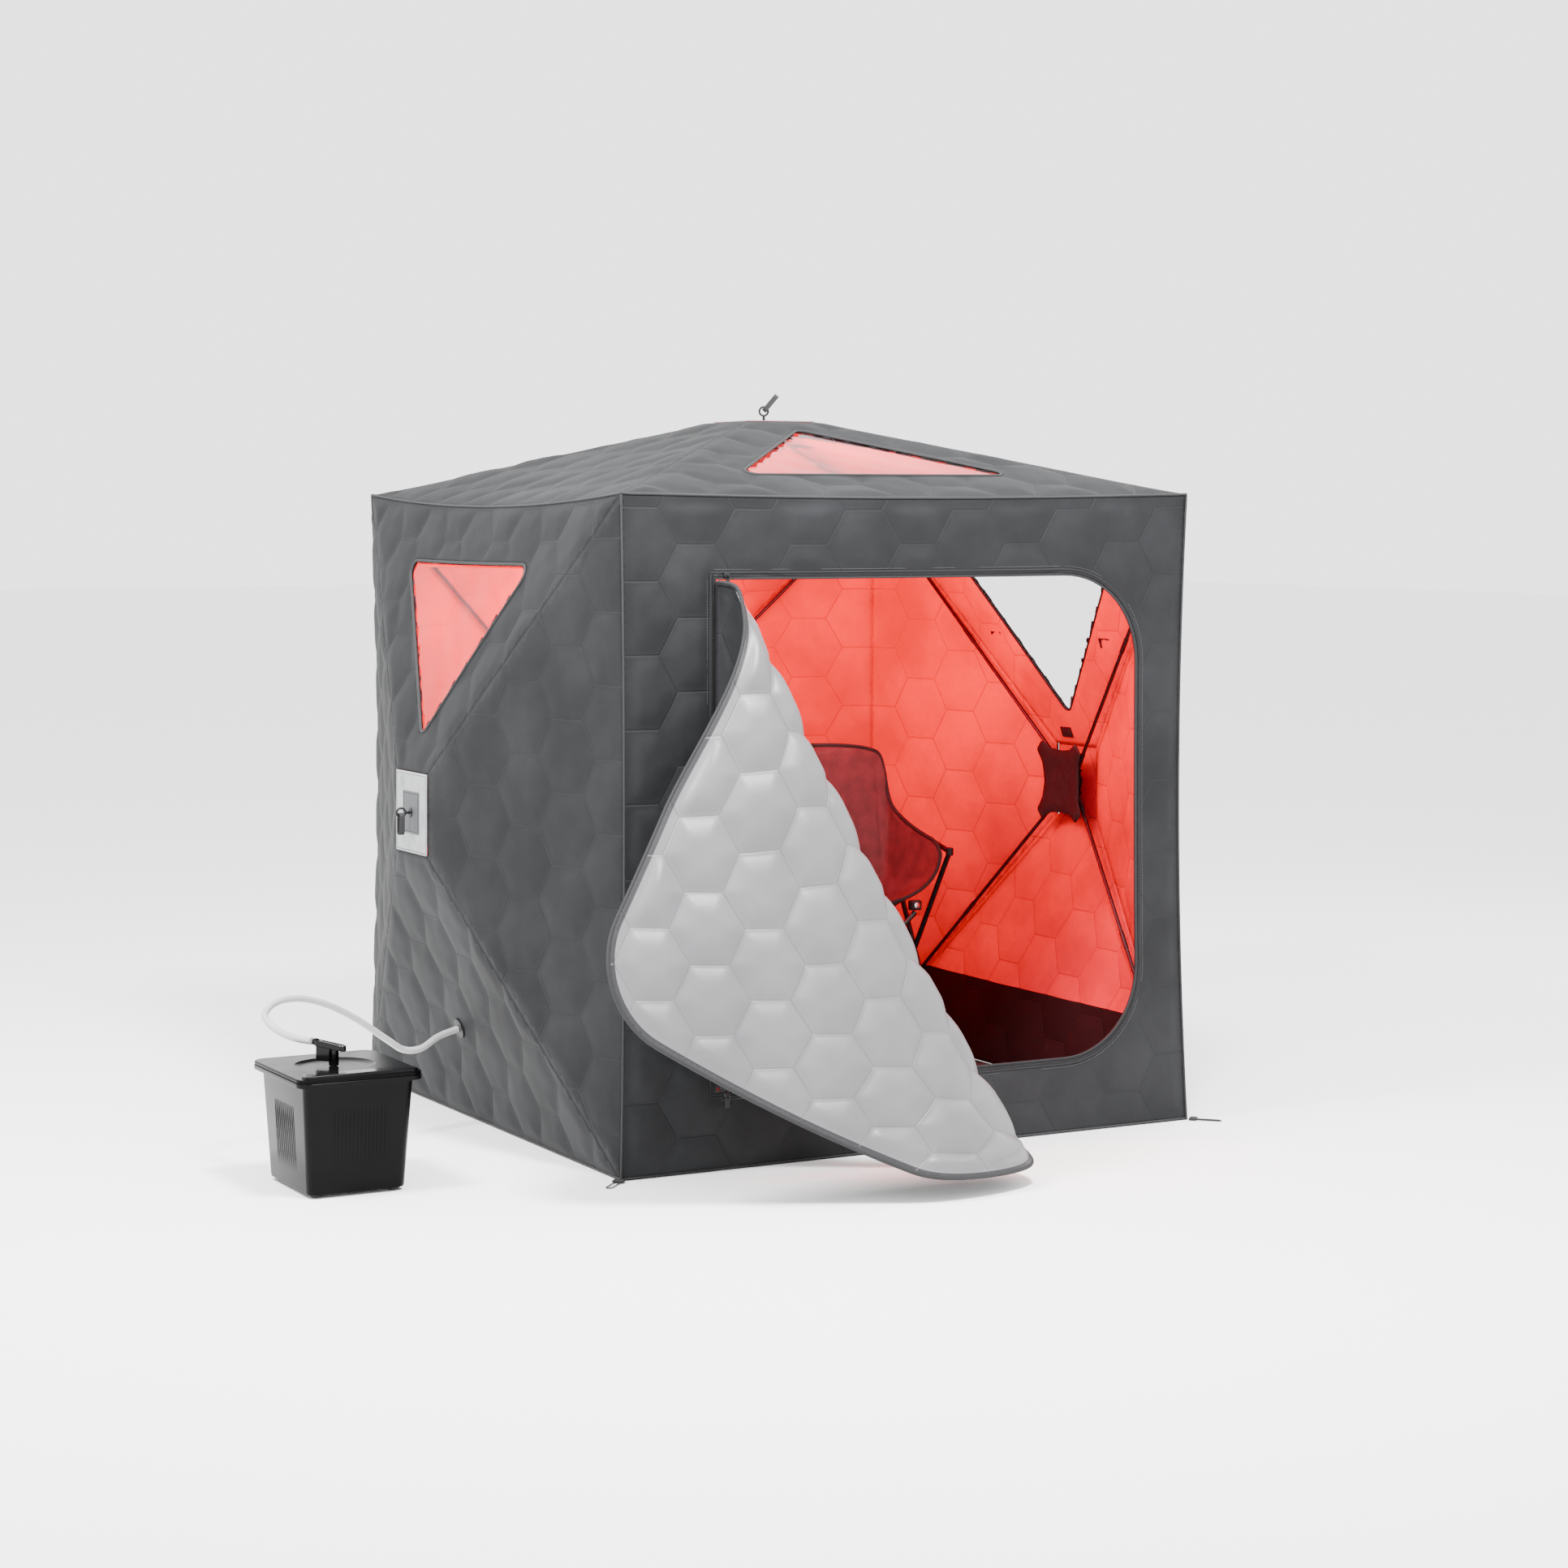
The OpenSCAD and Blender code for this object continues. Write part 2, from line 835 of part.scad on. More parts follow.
module chair_brackets() {
    color([0.05, 0.05, 0.05])
        translate([chair_x, 0, 0])
            for (s = [-1, 1]) {
                translate([s * 215, -18, 544])
                    cube([38, 22, 30], center = true);
                translate([s * 215, -29, 544])
                    rotate([90, 0, 0])
                        cylinder(r = 9, h = 3);
                translate([s * 290, 398, 975])
                    cube([34, 32, 34], center = true);
            }
}

module chair_feet() {
    color([0.02, 0.02, 0.02])
        translate([chair_x, 0, floor_thick])
            for (sx = [-1, 1], y = [-6, 424]) {
                translate([sx * front_foot[0], y, 0])
                    cylinder(r = 13, h = 8);
            }
}

floor_mat();
front_wall();
left_wall();
right_wall();
back_wall();
roof();
side_window(-90);  // left_window
side_window(90);  // right_window
roof_window();
zip_track();
corner_pockets();
ground_loops();
hose_port();
window_tabs();
door_leaf();
slider(door_top + 8);  // slider_top
zip_pull(door_top + 8);  // pull_top
slider(door_base - 8);  // slider_bottom
zip_pull(door_base - 8);  // pull_bottom
on_wall(-90) hub(wall_bulge, 0);  // left_hub
on_wall(-90) hub_patch(wall_bulge);  // left_hub_patch
on_wall(-90) hub_strap(wall_bulge, 0);  // left_hub_strap
on_wall(90) hub(wall_bulge, 0);  // right_hub
on_wall(90) hub_patch(wall_bulge);  // right_hub_patch
on_wall(90) hub_strap(wall_bulge, 0);  // right_hub_strap
on_wall(180) hub(wall_bulge, 0);  // back_hub
on_wall(180) hub_patch(wall_bulge);  // back_hub_patch
on_wall(180) hub_strap(wall_bulge, 0);  // back_hub_strap
on_roof() hub(roof_rise, 62);  // roof_hub
on_roof() hub_patch(roof_rise);  // roof_hub_patch
on_roof() rotate([0, 0, 62]) hub_strap(roof_rise, 50);  // roof_hub_strap
on_wall(-90) pole(wall_bulge, 0);  // left_pole_1
on_wall(-90) pole(wall_bulge, 1);  // left_pole_2
on_wall(-90) pole(wall_bulge, 2);  // left_pole_3
on_wall(-90) pole(wall_bulge, 3);  // left_pole_4
on_wall(90) pole(wall_bulge, 0);  // right_pole_1
on_wall(90) pole(wall_bulge, 1);  // right_pole_2
on_wall(90) pole(wall_bulge, 2);  // right_pole_3
on_wall(90) pole(wall_bulge, 3);  // right_pole_4
on_wall(180) pole(wall_bulge, 0);  // back_pole_1
on_wall(180) pole(wall_bulge, 1);  // back_pole_2
on_wall(180) pole(wall_bulge, 2);  // back_pole_3
on_wall(180) pole(wall_bulge, 3);  // back_pole_4
on_roof() pole(roof_rise, 0);  // roof_pole_1
on_roof() pole(roof_rise, 1);  // roof_pole_2
on_roof() pole(roof_rise, 2);  // roof_pole_3
on_roof() pole(roof_rise, 3);  // roof_pole_4
steam_tank();
tank_feet();
heater();
power_inlet();
steam_lid();
steam_spout();
steam_hose();
chair_sling();
chair_frame();
chair_brackets();
chair_feet();
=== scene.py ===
import math

import bpy
import numpy as np
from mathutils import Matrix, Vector, geometry


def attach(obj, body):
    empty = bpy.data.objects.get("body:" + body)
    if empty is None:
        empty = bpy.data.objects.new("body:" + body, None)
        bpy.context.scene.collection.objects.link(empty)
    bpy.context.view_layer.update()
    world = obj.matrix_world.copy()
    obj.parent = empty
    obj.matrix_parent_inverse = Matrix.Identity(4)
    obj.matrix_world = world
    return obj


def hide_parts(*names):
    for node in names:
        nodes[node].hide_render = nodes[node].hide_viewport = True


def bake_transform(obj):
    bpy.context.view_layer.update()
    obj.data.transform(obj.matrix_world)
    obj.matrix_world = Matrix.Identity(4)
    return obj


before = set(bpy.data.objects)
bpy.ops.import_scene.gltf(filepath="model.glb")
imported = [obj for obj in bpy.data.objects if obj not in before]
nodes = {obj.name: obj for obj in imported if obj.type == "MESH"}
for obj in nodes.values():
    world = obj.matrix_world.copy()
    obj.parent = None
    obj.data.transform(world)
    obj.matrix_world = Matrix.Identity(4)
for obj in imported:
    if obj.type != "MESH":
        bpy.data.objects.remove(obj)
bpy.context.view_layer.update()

# Camera first.
view = {"place": (-4.551, -8.573, 1.765), "turn": (90.0, 0.0, -28.32), "lens": 74.49, "shiftY": -0.1771}
cameraData = bpy.data.cameras.new("camera")
cameraData.lens = view["lens"]
cameraData.sensor_width = 36
cameraData.shift_y = view["shiftY"]
camera = bpy.data.objects.new("camera", cameraData)
camera.location = view["place"]
camera.rotation_euler = [math.radians(a) for a in view["turn"]]
bpy.context.scene.collection.objects.link(camera)
bpy.context.scene.camera = camera
print("camera")


# Material helpers.
def newMaterial(name, color, rough, **extra):
    mat = bpy.data.materials.new(name)
    mat.use_nodes = True
    shader = mat.node_tree.nodes["Principled BSDF"]
    shader.inputs["Base Color"].default_value = (*color, 1)
    shader.inputs["Roughness"].default_value = rough
    for key, value in extra.items():
        shader.inputs[key].default_value = value
    return mat, mat.node_tree, shader


def link(tree, source, target):
    tree.links.new(source, target)


def setInput(tree, socket, value):
    if isinstance(value, (int, float)):
        socket.default_value = value
    elif isinstance(value, tuple):
        socket.default_value = value
    else:
        tree.links.new(value, socket)


def mathNode(tree, operation, a, b=None, c=None):
    node = tree.nodes.new("ShaderNodeMath")
    node.operation = operation
    for index, value in enumerate((a, b, c)):
        if value is not None:
            setInput(tree, node.inputs[index], value)
    return node.outputs[0]


def mixColor(tree, factor, a, b):
    node = tree.nodes.new("ShaderNodeMix")
    node.data_type = "RGBA"
    setInput(tree, node.inputs[0], factor)
    setInput(tree, node.inputs[6], a)
    setInput(tree, node.inputs[7], b)
    return node.outputs[2]


def noiseNode(tree, vector, scale, detail=3.0, rough=0.55):
    node = tree.nodes.new("ShaderNodeTexNoise")
    node.inputs["Scale"].default_value = scale
    node.inputs["Detail"].default_value = detail
    node.inputs["Roughness"].default_value = rough
    link(tree, vector, node.inputs["Vector"])
    return node.outputs["Fac"]


def ramp(tree, value, low, high):
    node = tree.nodes.new("ShaderNodeMapRange")
    node.interpolation_type = "SMOOTHSTEP"
    setInput(tree, node.inputs["Value"], value)
    node.inputs["From Min"].default_value = low
    node.inputs["From Max"].default_value = high
    return node.outputs[0]


def bumpNode(tree, shader, height, distance, strength=1.0):
    node = tree.nodes.new("ShaderNodeBump")
    node.inputs["Strength"].default_value = strength
    node.inputs["Distance"].default_value = distance
    link(tree, height, node.inputs["Height"])
    link(tree, node.outputs[0], shader.inputs["Normal"])


def objectCoord(tree):
    return tree.nodes.new("ShaderNodeTexCoord").outputs["Object"]


def uvCoord(tree):
    node = tree.nodes.new("ShaderNodeUVMap")
    node.uv_map = "flat"
    return node.outputs[0]


def attributeFac(tree, name):
    node = tree.nodes.new("ShaderNodeAttribute")
    node.attribute_name = name
    return node.outputs["Fac"]


# Distance to the nearest quilting seam, shared by every quilted cloth.
cell = {"height": 0.196, "column": 0.17}


def makeHexGroup():
    group = bpy.data.node_groups.new("quiltCells", "ShaderNodeTree")
    group.interface.new_socket("Flat", in_out="INPUT", socket_type="NodeSocketVector")
    group.interface.new_socket("Seam", in_out="OUTPUT", socket_type="NodeSocketFloat")
    source = group.nodes.new("NodeGroupInput")
    target = group.nodes.new("NodeGroupOutput")
    split = group.nodes.new("ShaderNodeSeparateXYZ")
    link(group, source.outputs[0], split.inputs[0])
    halfHeight = cell["height"] / 2
    distances = []
    for shift in (0.0, 1.0):
        across = mathNode(group, "SUBTRACT", split.outputs[0], shift * cell["column"])
        along = mathNode(group, "SUBTRACT", split.outputs[1], shift * halfHeight)
        across = mathNode(group, "ABSOLUTE", mathNode(group, "WRAP", across, cell["column"], -cell["column"]))
        along = mathNode(group, "ABSOLUTE", mathNode(group, "WRAP", along, halfHeight, -halfHeight))
        slant = mathNode(group, "MULTIPLY_ADD", across, 0.866, mathNode(group, "MULTIPLY", along, 0.5))
        distances.append(mathNode(group, "SUBTRACT", halfHeight, mathNode(group, "MAXIMUM", along, slant)))
    link(group, mathNode(group, "MAXIMUM", *distances), target.inputs[0])
    return group


hexGroup = makeHexGroup()


def seamDistance(tree, flat):
    node = tree.nodes.new("ShaderNodeGroup")
    node.node_tree = hexGroup
    link(tree, flat, node.inputs[0])
    return node.outputs[0]


# Quilted cloth: mottled colour, darker seams with dashed thread, fine weave.
def quiltMaterial(name, settings):
    mat, tree, shader = newMaterial(name, settings["color"], settings["rough"])
    flat = uvCoord(tree)
    place = objectCoord(tree)
    seam = seamDistance(tree, flat)
    split = tree.nodes.new("ShaderNodeSeparateXYZ")
    link(tree, flat, split.inputs[0])
    broad = noiseNode(tree, place, 3.5, 4.0)
    fine = noiseNode(tree, place, 60.0, 4.0)
    weave = noiseNode(tree, place, 900.0, 2.0, 0.7)
    dark = tuple(c * settings["shade"] for c in settings["color"]) + (1,)
    light = tuple(min(1, c * settings["lift"]) for c in settings["color"]) + (1,)
    tone = mixColor(tree, ramp(tree, broad, 0.3, 0.72), dark, light)
    tone = mixColor(tree, mathNode(tree, "MULTIPLY", ramp(tree, fine, 0.35, 0.8), 0.16), tone, dark)
    slant = mathNode(tree, "MULTIPLY", split.outputs[1], 0.6)
    run = mathNode(tree, "ADD", split.outputs[0], slant)
    stitch = mathNode(tree, "FRACT", mathNode(tree, "MULTIPLY", run, 150.0))
    dash = mathNode(tree, "GREATER_THAN", stitch, 0.38)
    groove = mathNode(tree, "SUBTRACT", 1.0, ramp(tree, seam, 0.0004, settings["seamWidth"]))
    near = mathNode(tree, "SUBTRACT", 1.0, ramp(tree, seam, 0.0005, 0.0014))
    thread = mathNode(tree, "MULTIPLY", near, dash)
    tone = mixColor(tree, mathNode(tree, "MULTIPLY", groove, settings["seamDark"]), tone, dark)
    tone = mixColor(tree, mathNode(tree, "MULTIPLY", thread, 0.45), tone, settings["thread"])
    if "bandTop" in settings:
        height = tree.nodes.new("ShaderNodeSeparateXYZ")
        link(tree, place, height.inputs[0])
        below = mathNode(tree, "LESS_THAN", height.outputs[2], settings["bandTop"])
        tone = mixColor(tree, below, tone, settings["band"])
    if "border" in settings:
        width = settings["border"]
        edge = ramp(tree, attributeFac(tree, "edge"), width, width + 0.0015)
        rim = mathNode(tree, "SUBTRACT", 1.0, edge)
        tone = mixColor(tree, rim, tone, (0.012, 0.012, 0.014, 1))
    link(tree, tone, shader.inputs["Base Color"])
    coarse = mathNode(tree, "MULTIPLY", fine, 0.5)
    relief = mathNode(tree, "ADD", mathNode(tree, "MULTIPLY", weave, 0.25), coarse)
    relief = mathNode(tree, "SUBTRACT", relief, mathNode(tree, "MULTIPLY", groove, 1.3))
    relief = mathNode(tree, "ADD", relief, mathNode(tree, "MULTIPLY", thread, 0.5))
    bumpNode(tree, shader, relief, settings["relief"], 0.7)
    shader.inputs["Specular IOR Level"].default_value = settings["specular"]
    return mat


shellOut = quiltMaterial("shellOut", {
    "color": (0.0105, 0.011, 0.0120), "rough": 0.62, "shade": 0.65, "lift": 1.25, "seamWidth": 0.004,
    "seamDark": 0.6, "thread": (0.024, 0.024, 0.027, 1), "relief": 0.0012, "specular": 0.16,
})
shellIn = quiltMaterial("shellIn", {
    "color": (0.70, 0.016, 0.034), "rough": 0.6, "shade": 0.74, "lift": 1.08, "seamWidth": 0.004,
    "seamDark": 0.6, "thread": (0.3, 0.004, 0.010, 1), "relief": 0.0010, "specular": 0.05,
    "bandTop": 0.247, "band": (0.02, 0.006, 0.007, 1),
})
leafLining = quiltMaterial("leafLining", {
    "color": (0.118, 0.118, 0.123), "rough": 0.40, "shade": 0.86, "lift": 1.04, "seamWidth": 0.0035,
    "seamDark": 0.6, "thread": (0.070, 0.070, 0.073, 1), "relief": 0.0011, "border": 0.017, "specular": 0.4,
})
leafOut = quiltMaterial("leafOut", {
    "color": (0.0105, 0.011, 0.0120), "rough": 0.62, "shade": 0.65, "lift": 1.25, "seamWidth": 0.004,
    "seamDark": 0.6, "thread": (0.024, 0.024, 0.027, 1), "relief": 0.0012, "border": 0.017, "specular": 0.16,
})


# Plain surfaces with mottled colour and a fine relief.
def plainMaterial(name, color, rough, scale=80.0, relief=0.0004, vary=0.25, **extra):
    mat, tree, shader = newMaterial(name, color, rough, **extra)
    place = objectCoord(tree)
    mottle = noiseNode(tree, place, scale * 0.25, 4.0)
    grain = noiseNode(tree, place, scale * 6, 3.0, 0.6)
    dark = tuple(c * (1 - vary) for c in color) + (1,)
    light = tuple(min(1, c * (1 + vary)) for c in color) + (1,)
    link(tree, mixColor(tree, ramp(tree, mottle, 0.3, 0.7), dark, light), shader.inputs["Base Color"])
    smear = mathNode(tree, "MULTIPLY_ADD", mottle, 0.16, rough - 0.08)
    link(tree, smear, shader.inputs["Roughness"])
    bumpNode(tree, shader, grain, relief, 0.6)
    return mat


# Woven webbing with a ribbed relief.
def webbingMaterial(name, color, rough=0.75):
    mat, tree, shader = newMaterial(name, color, rough)
    place = objectCoord(tree)
    wave = tree.nodes.new("ShaderNodeTexWave")
    wave.inputs["Scale"].default_value = 260.0
    wave.inputs["Distortion"].default_value = 1.5
    link(tree, place, wave.inputs["Vector"])
    grain = noiseNode(tree, place, 500.0, 2.0)
    dark = tuple(c * 0.6 for c in color) + (1,)
    light = tuple(min(1, c * 1.4) for c in color) + (1,)
    link(tree, mixColor(tree, wave.outputs["Fac"], dark, light), shader.inputs["Base Color"])
    relief = mathNode(tree, "ADD", wave.outputs["Fac"], mathNode(tree, "MULTIPLY", grain, 0.5))
    bumpNode(tree, shader, relief, 0.0006, 0.7)
    return mat


webbing = webbingMaterial("webbing", (0.009, 0.009, 0.010))
zipCloth = webbingMaterial("zipCloth", (0.004, 0.004, 0.005), 0.8)
silverCloth = webbingMaterial("silverCloth", (0.19, 0.193, 0.20), 0.5)
greyCloth = webbingMaterial("greyCloth", (0.075, 0.078, 0.082), 0.6)
zipMetal = plainMaterial("zipMetal", (0.02, 0.02, 0.022), 0.32, 200.0, 0.0002, Metallic=0.6)
shine = {
    "matt": {"Specular IOR Level": 0.2},
    "pot": {"Specular IOR Level": 0.06},
    "lid": {"Specular IOR Level": 0.14},
}
blackPlastic = plainMaterial("blackPlastic", (0.008, 0.008, 0.009), 0.42, 120.0, 0.0002, **shine["matt"])
rodBlack = plainMaterial("rodBlack", (0.012, 0.012, 0.014), 0.3, 150.0, 0.0001)
potBlack = plainMaterial("potBlack", (0.001, 0.001, 0.0012), 0.22, 30.0, 0.00015, **shine["pot"])
potGloss = plainMaterial("potGloss", (0.001, 0.001, 0.0012), 0.10, 30.0, 0.00004, **shine["lid"])
rubberBlack = plainMaterial("rubberBlack", (0.014, 0.014, 0.014), 0.8, 90.0, 0.0004)
steelWorn = plainMaterial("steelWorn", (0.55, 0.55, 0.56), 0.34, 60.0, 0.0001, Metallic=1.0)
hoseWhite = plainMaterial("hoseWhite", (0.36, 0.363, 0.367), 0.36, 50.0, 0.0002, 0.06)
floorCloth = plainMaterial("floorCloth", (0.020, 0.012, 0.013), 0.7, 40.0, 0.0009)
chairCloth = plainMaterial("chairCloth", (0.10, 0.020, 0.024), 0.8, 110.0, 0.0010)
tubeBlack = plainMaterial("tubeBlack", (0.012, 0.012, 0.013), 0.33, 90.0, 0.0002, Metallic=0.3)


def vinylMaterial():
    mat, tree, shader = newMaterial("vinyl", (0.96, 0.97, 0.98), 0.06)
    shader.inputs["Transmission Weight"].default_value = 1.0
    shader.inputs["IOR"].default_value = 1.12
    ripple = noiseNode(tree, objectCoord(tree), 9.0, 2.0)
    scuff = noiseNode(tree, objectCoord(tree), 140.0, 5.0, 0.7)
    haze = mathNode(tree, "MULTIPLY_ADD", ramp(tree, scuff, 0.55, 0.8), 0.10, 0.05)
    link(tree, haze, shader.inputs["Roughness"])
    bumpNode(tree, shader, ripple, 0.004, 0.35)
    return mat


vinyl = vinylMaterial()
print("materials")


# Mesh helpers. Every mesh is built in place, in metres.
def addMesh(name, verts, faces, mats, indices=None, uv=None, edge=None, smooth=True):
    mesh = bpy.data.meshes.new(name)
    mesh.from_pydata([tuple(map(float, v)) for v in verts], [], [tuple(map(int, f)) for f in faces])
    for mat in mats:
        mesh.materials.append(mat)
    if indices is not None:
        mesh.polygons.foreach_set("material_index", np.asarray(indices, np.int32))
    mesh.polygons.foreach_set("use_smooth", np.full(len(mesh.polygons), smooth))
    if uv is not None:
        layer = mesh.uv_layers.new(name="flat")
        order = np.zeros(len(mesh.loops), np.int32)
        mesh.loops.foreach_get("vertex_index", order)
        layer.data.foreach_set("uv", np.asarray(uv, np.float32)[order].ravel())
    if edge is not None:
        layer = mesh.attributes.new("edge", "FLOAT", "POINT")
        layer.data.foreach_set("value", np.asarray(edge, np.float32))
    mesh.update()
    obj = bpy.data.objects.new(name, mesh)
    bpy.context.scene.collection.objects.link(obj)
    return obj


def sharpen(obj, degrees=35):
    bpy.context.view_layer.objects.active = obj
    for other in bpy.context.selected_objects:
        other.select_set(False)
    obj.select_set(True)
    bpy.ops.object.shade_smooth_by_angle(angle=math.radians(degrees))
    obj.select_set(False)
    return obj


# Several shapes gathered into one mesh.
class Gather:
    def __init__(self):
        self.verts = []
        self.faces = []
        self.slots = []

    def add(self, verts, faces, slot=0):
        base = len(self.verts)
        self.verts.extend([tuple(map(float, v)) for v in verts])
        self.faces.extend([tuple(int(i) + base for i in f) for f in faces])
        self.slots.extend([slot] * len(faces))

    def build(self, name, mats, sharp=35):
        obj = addMesh(name, self.verts, self.faces, mats, self.slots)
        return sharpen(obj, sharp) if sharp else obj


def bandFaces(low, high, count):
    return [(low + k, low + (k + 1) % count, high + (k + 1) % count, high + k) for k in range(count)]


def tubeShape(points, radius, sides=10, closed=False):
    points = np.asarray(points, float)
    count = len(points)
    if closed:
        ahead = np.roll(points, -1, 0) - np.roll(points, 1, 0)
    else:
        ahead = np.gradient(points, axis=0)
    ahead /= np.linalg.norm(ahead, axis=1)[:, None]
    side = np.cross(ahead[0], (0, 0, 1) if abs(ahead[0][2]) < 0.9 else (1, 0, 0))
    verts = []
    turn = np.arange(sides) * 2 * math.pi / sides
    for i in range(count):
        side = side - ahead[i] * (side @ ahead[i])
        side /= np.linalg.norm(side)
        up = np.cross(ahead[i], side)
        size = radius[i] if hasattr(radius, "__len__") else radius
        verts.extend(points[i] + size * (np.cos(a) * side + np.sin(a) * up) for a in turn)
    faces = []
    for i in range(count if closed else count - 1):
        faces.extend(bandFaces(i * sides, ((i + 1) % count) * sides, sides))
    if not closed:
        faces.append(tuple(range(sides - 1, -1, -1)))
        faces.append(tuple((count - 1) * sides + k for k in range(sides)))
    return verts, faces


def boxShape(center, size, bevel=0.0, turn=0.0):
    x, y, z = (s / 2 for s in size)
    b = min(bevel, x, y, z)
    corner = [(-1, -1), (1, -1), (1, 1), (-1, 1)]
    verts = []
    rings = [(-z, b), (-z + b, 0), (z - b, 0), (z, b)] if b else [(-z, 0), (z, 0)]
    for level, inset in rings:
        for cx, cy in corner:
            if b:
                steps = [(cx * (x - inset), cy * (y - b - inset)), (cx * (x - b - inset), cy * (y - inset))]
                if cx * cy < 0:
                    steps.reverse()
                verts.extend((px, py, level) for px, py in steps)
            else:
                verts.append((cx * x, cy * y, level))
    n = 8 if b else 4
    faces = [tuple(range(n - 1, -1, -1)), tuple((len(rings) - 1) * n + k for k in range(n))]
    for r in range(len(rings) - 1):
        faces.extend(bandFaces(r * n, (r + 1) * n, n))
    c, s = math.cos(turn), math.sin(turn)
    placed = [(center[0] + c * x - s * y, center[1] + s * x + c * y, center[2] + z) for x, y, z in verts]
    return placed, faces


# Rounded rectangles lofted through levels: (width, depth, height, radius).
def loftShape(center, levels, steps=8, capLow=True, capHigh=True):
    verts = []
    for w, d, z, r in levels:
        for cx, cy, start in ((1, 1, 0), (-1, 1, 90), (-1, -1, 180), (1, -1, 270)):
            for k in range(steps + 1):
                a = math.radians(start + 90 * k / steps)
                verts.append((
                    center[0] + cx * (w / 2 - r) + r * math.cos(a),
                    center[1] + cy * (d / 2 - r) + r * math.sin(a),
                    center[2] + z,
                ))
    n = 4 * (steps + 1)
    faces = []
    for i in range(len(levels) - 1):
        faces.extend(bandFaces(i * n, (i + 1) * n, n))
    if capLow:
        faces.append(tuple(range(n - 1, -1, -1)))
    if capHigh:
        faces.append(tuple((len(levels) - 1) * n + k for k in range(n)))
    return verts, faces


# A turned shape about an axis: profile is (radius, height) pairs from the base up.
def latheShape(center, profile, sides=48, axis=(0, 0, 1)):
    axis = np.array(axis, float) / np.linalg.norm(axis)
    side = np.cross(axis, (0, 0, 1) if abs(axis[2]) < 0.9 else (1, 0, 0))
    side /= np.linalg.norm(side)
    up = np.cross(axis, side)
    verts = []
    for r, z in profile:
        for k in range(sides):
            a = 2 * math.pi * k / sides
            verts.append(np.array(center) + axis * z + r * (math.cos(a) * side + math.sin(a) * up))
    faces = []
    for i in range(len(profile) - 1):
        faces.extend(bandFaces(i * sides, (i + 1) * sides, sides))
    faces.append(tuple(range(sides - 1, -1, -1)))
    faces.append(tuple((len(profile) - 1) * sides + k for k in range(sides)))
    return verts, faces


def smoothPath(points, steps):
    points = np.asarray(points, float)
    slopes = np.gradient(points, axis=0)
    out = []
    for i in range(len(points) - 1):
        for k in range(steps):
            s = k / steps
            out.append(
                points[i] * (2 * s**3 - 3 * s**2 + 1) + slopes[i] * (s**3 - 2 * s**2 + s)
                + points[i + 1] * (3 * s**2 - 2 * s**3) + slopes[i + 1] * (s**3 - s**2)
            )
    out.append(points[-1])
    return np.array(out)


# The hose, a tube between the spout and the wall port.
hoseRoute = [
    (-1.612, -0.515, 0.366), (-1.634, -0.45, 0.366), (-1.646, -0.38, 0.37), (-1.655, -0.31, 0.384),
    (-1.648, -0.25, 0.404), (-1.6, -0.205, 0.425), (-1.525, -0.17, 0.425), (-1.44, -0.142, 0.401),
    (-1.34, -0.112, 0.35), (-1.23, -0.078, 0.276), (-1.17, -0.05, 0.24), (-1.11, -0.03, 0.236),
    (-1.05, -0.012, 0.262), (-0.987, 0.0, 0.277),
]
hosePath = smoothPath(hoseRoute, 10)
hoseVerts, hoseFaces = tubeShape(hosePath, 0.0095, 20)
hose = sharpen(addMesh("hose", hoseVerts, hoseFaces, [hoseWhite]), 50)
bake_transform(hose)
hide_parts("steam_hose")

# Tent geometry shared with the CAD.
tent = {
    "half": 0.9, "hub": 0.115, "wallBulge": 0.225, "roofRise": 0.215, "eave": 1.8, "thick": 0.008,
    "blend": (0.42, 1.06),
}


def turned(angle):
    c, s = math.cos(math.radians(angle)), math.sin(math.radians(angle))

    def place(p):
        p = np.atleast_2d(np.asarray(p, float))
        x, y, z = p[:, 0], -0.9 - p[:, 2], p[:, 1] + 0.9
        return np.stack([c * x - s * y, s * x + c * y, z], 1)

    return place


def roofPlace(p):
    p = np.atleast_2d(np.asarray(p, float))
    return p + np.array([0, 0, tent["eave"]])


panels = {
    "left": {"place": turned(-90), "bulge": tent["wallBulge"]},
    "right": {"place": turned(90), "bulge": tent["wallBulge"]},
    "back": {"place": turned(180), "bulge": tent["wallBulge"]},
    "roof": {"place": roofPlace, "bulge": tent["roofRise"]},
}


# The cloth pulls in at the corners and hangs a little along the eaves.
drapeShape = {"bow": 0.017, "front": 0.012, "left": 0.036, "other": 0.030}


def drape(p):
    p = np.array(p, float)
    ax = np.clip(np.abs(p[:, 0]) / 0.9, 0, 1)
    ay = np.clip(np.abs(p[:, 1]) / 0.9, 0, 1)
    corner = ax**6 * ay**6 * np.clip(1 - ((p[:, 2] - 0.9) / 0.9) ** 2, 0, 1)
    top = np.clip((p[:, 2] - 1.2) / 0.6, 0, 1) ** 3 * np.clip((np.maximum(ax, ay) - 0.4) / 0.6, 0, 1) ** 3
    front = np.clip((ay - ax) * 6 + 0.5, 0, 1) * (p[:, 1] < 0)
    left = np.clip((ax - ay) * 6 + 0.5, 0, 1) * (p[:, 0] < 0)
    sag = drapeShape["other"] + front * (drapeShape["front"] - drapeShape["other"])
    sag = sag + left * (drapeShape["left"] - sag)
    p[:, 2] -= top * sag * (1 - np.minimum(ax, ay) ** 2)
    p[:, 0] -= np.sign(p[:, 0]) * drapeShape["bow"] * corner
    p[:, 1] -= np.sign(p[:, 1]) * drapeShape["bow"] * corner
    return p


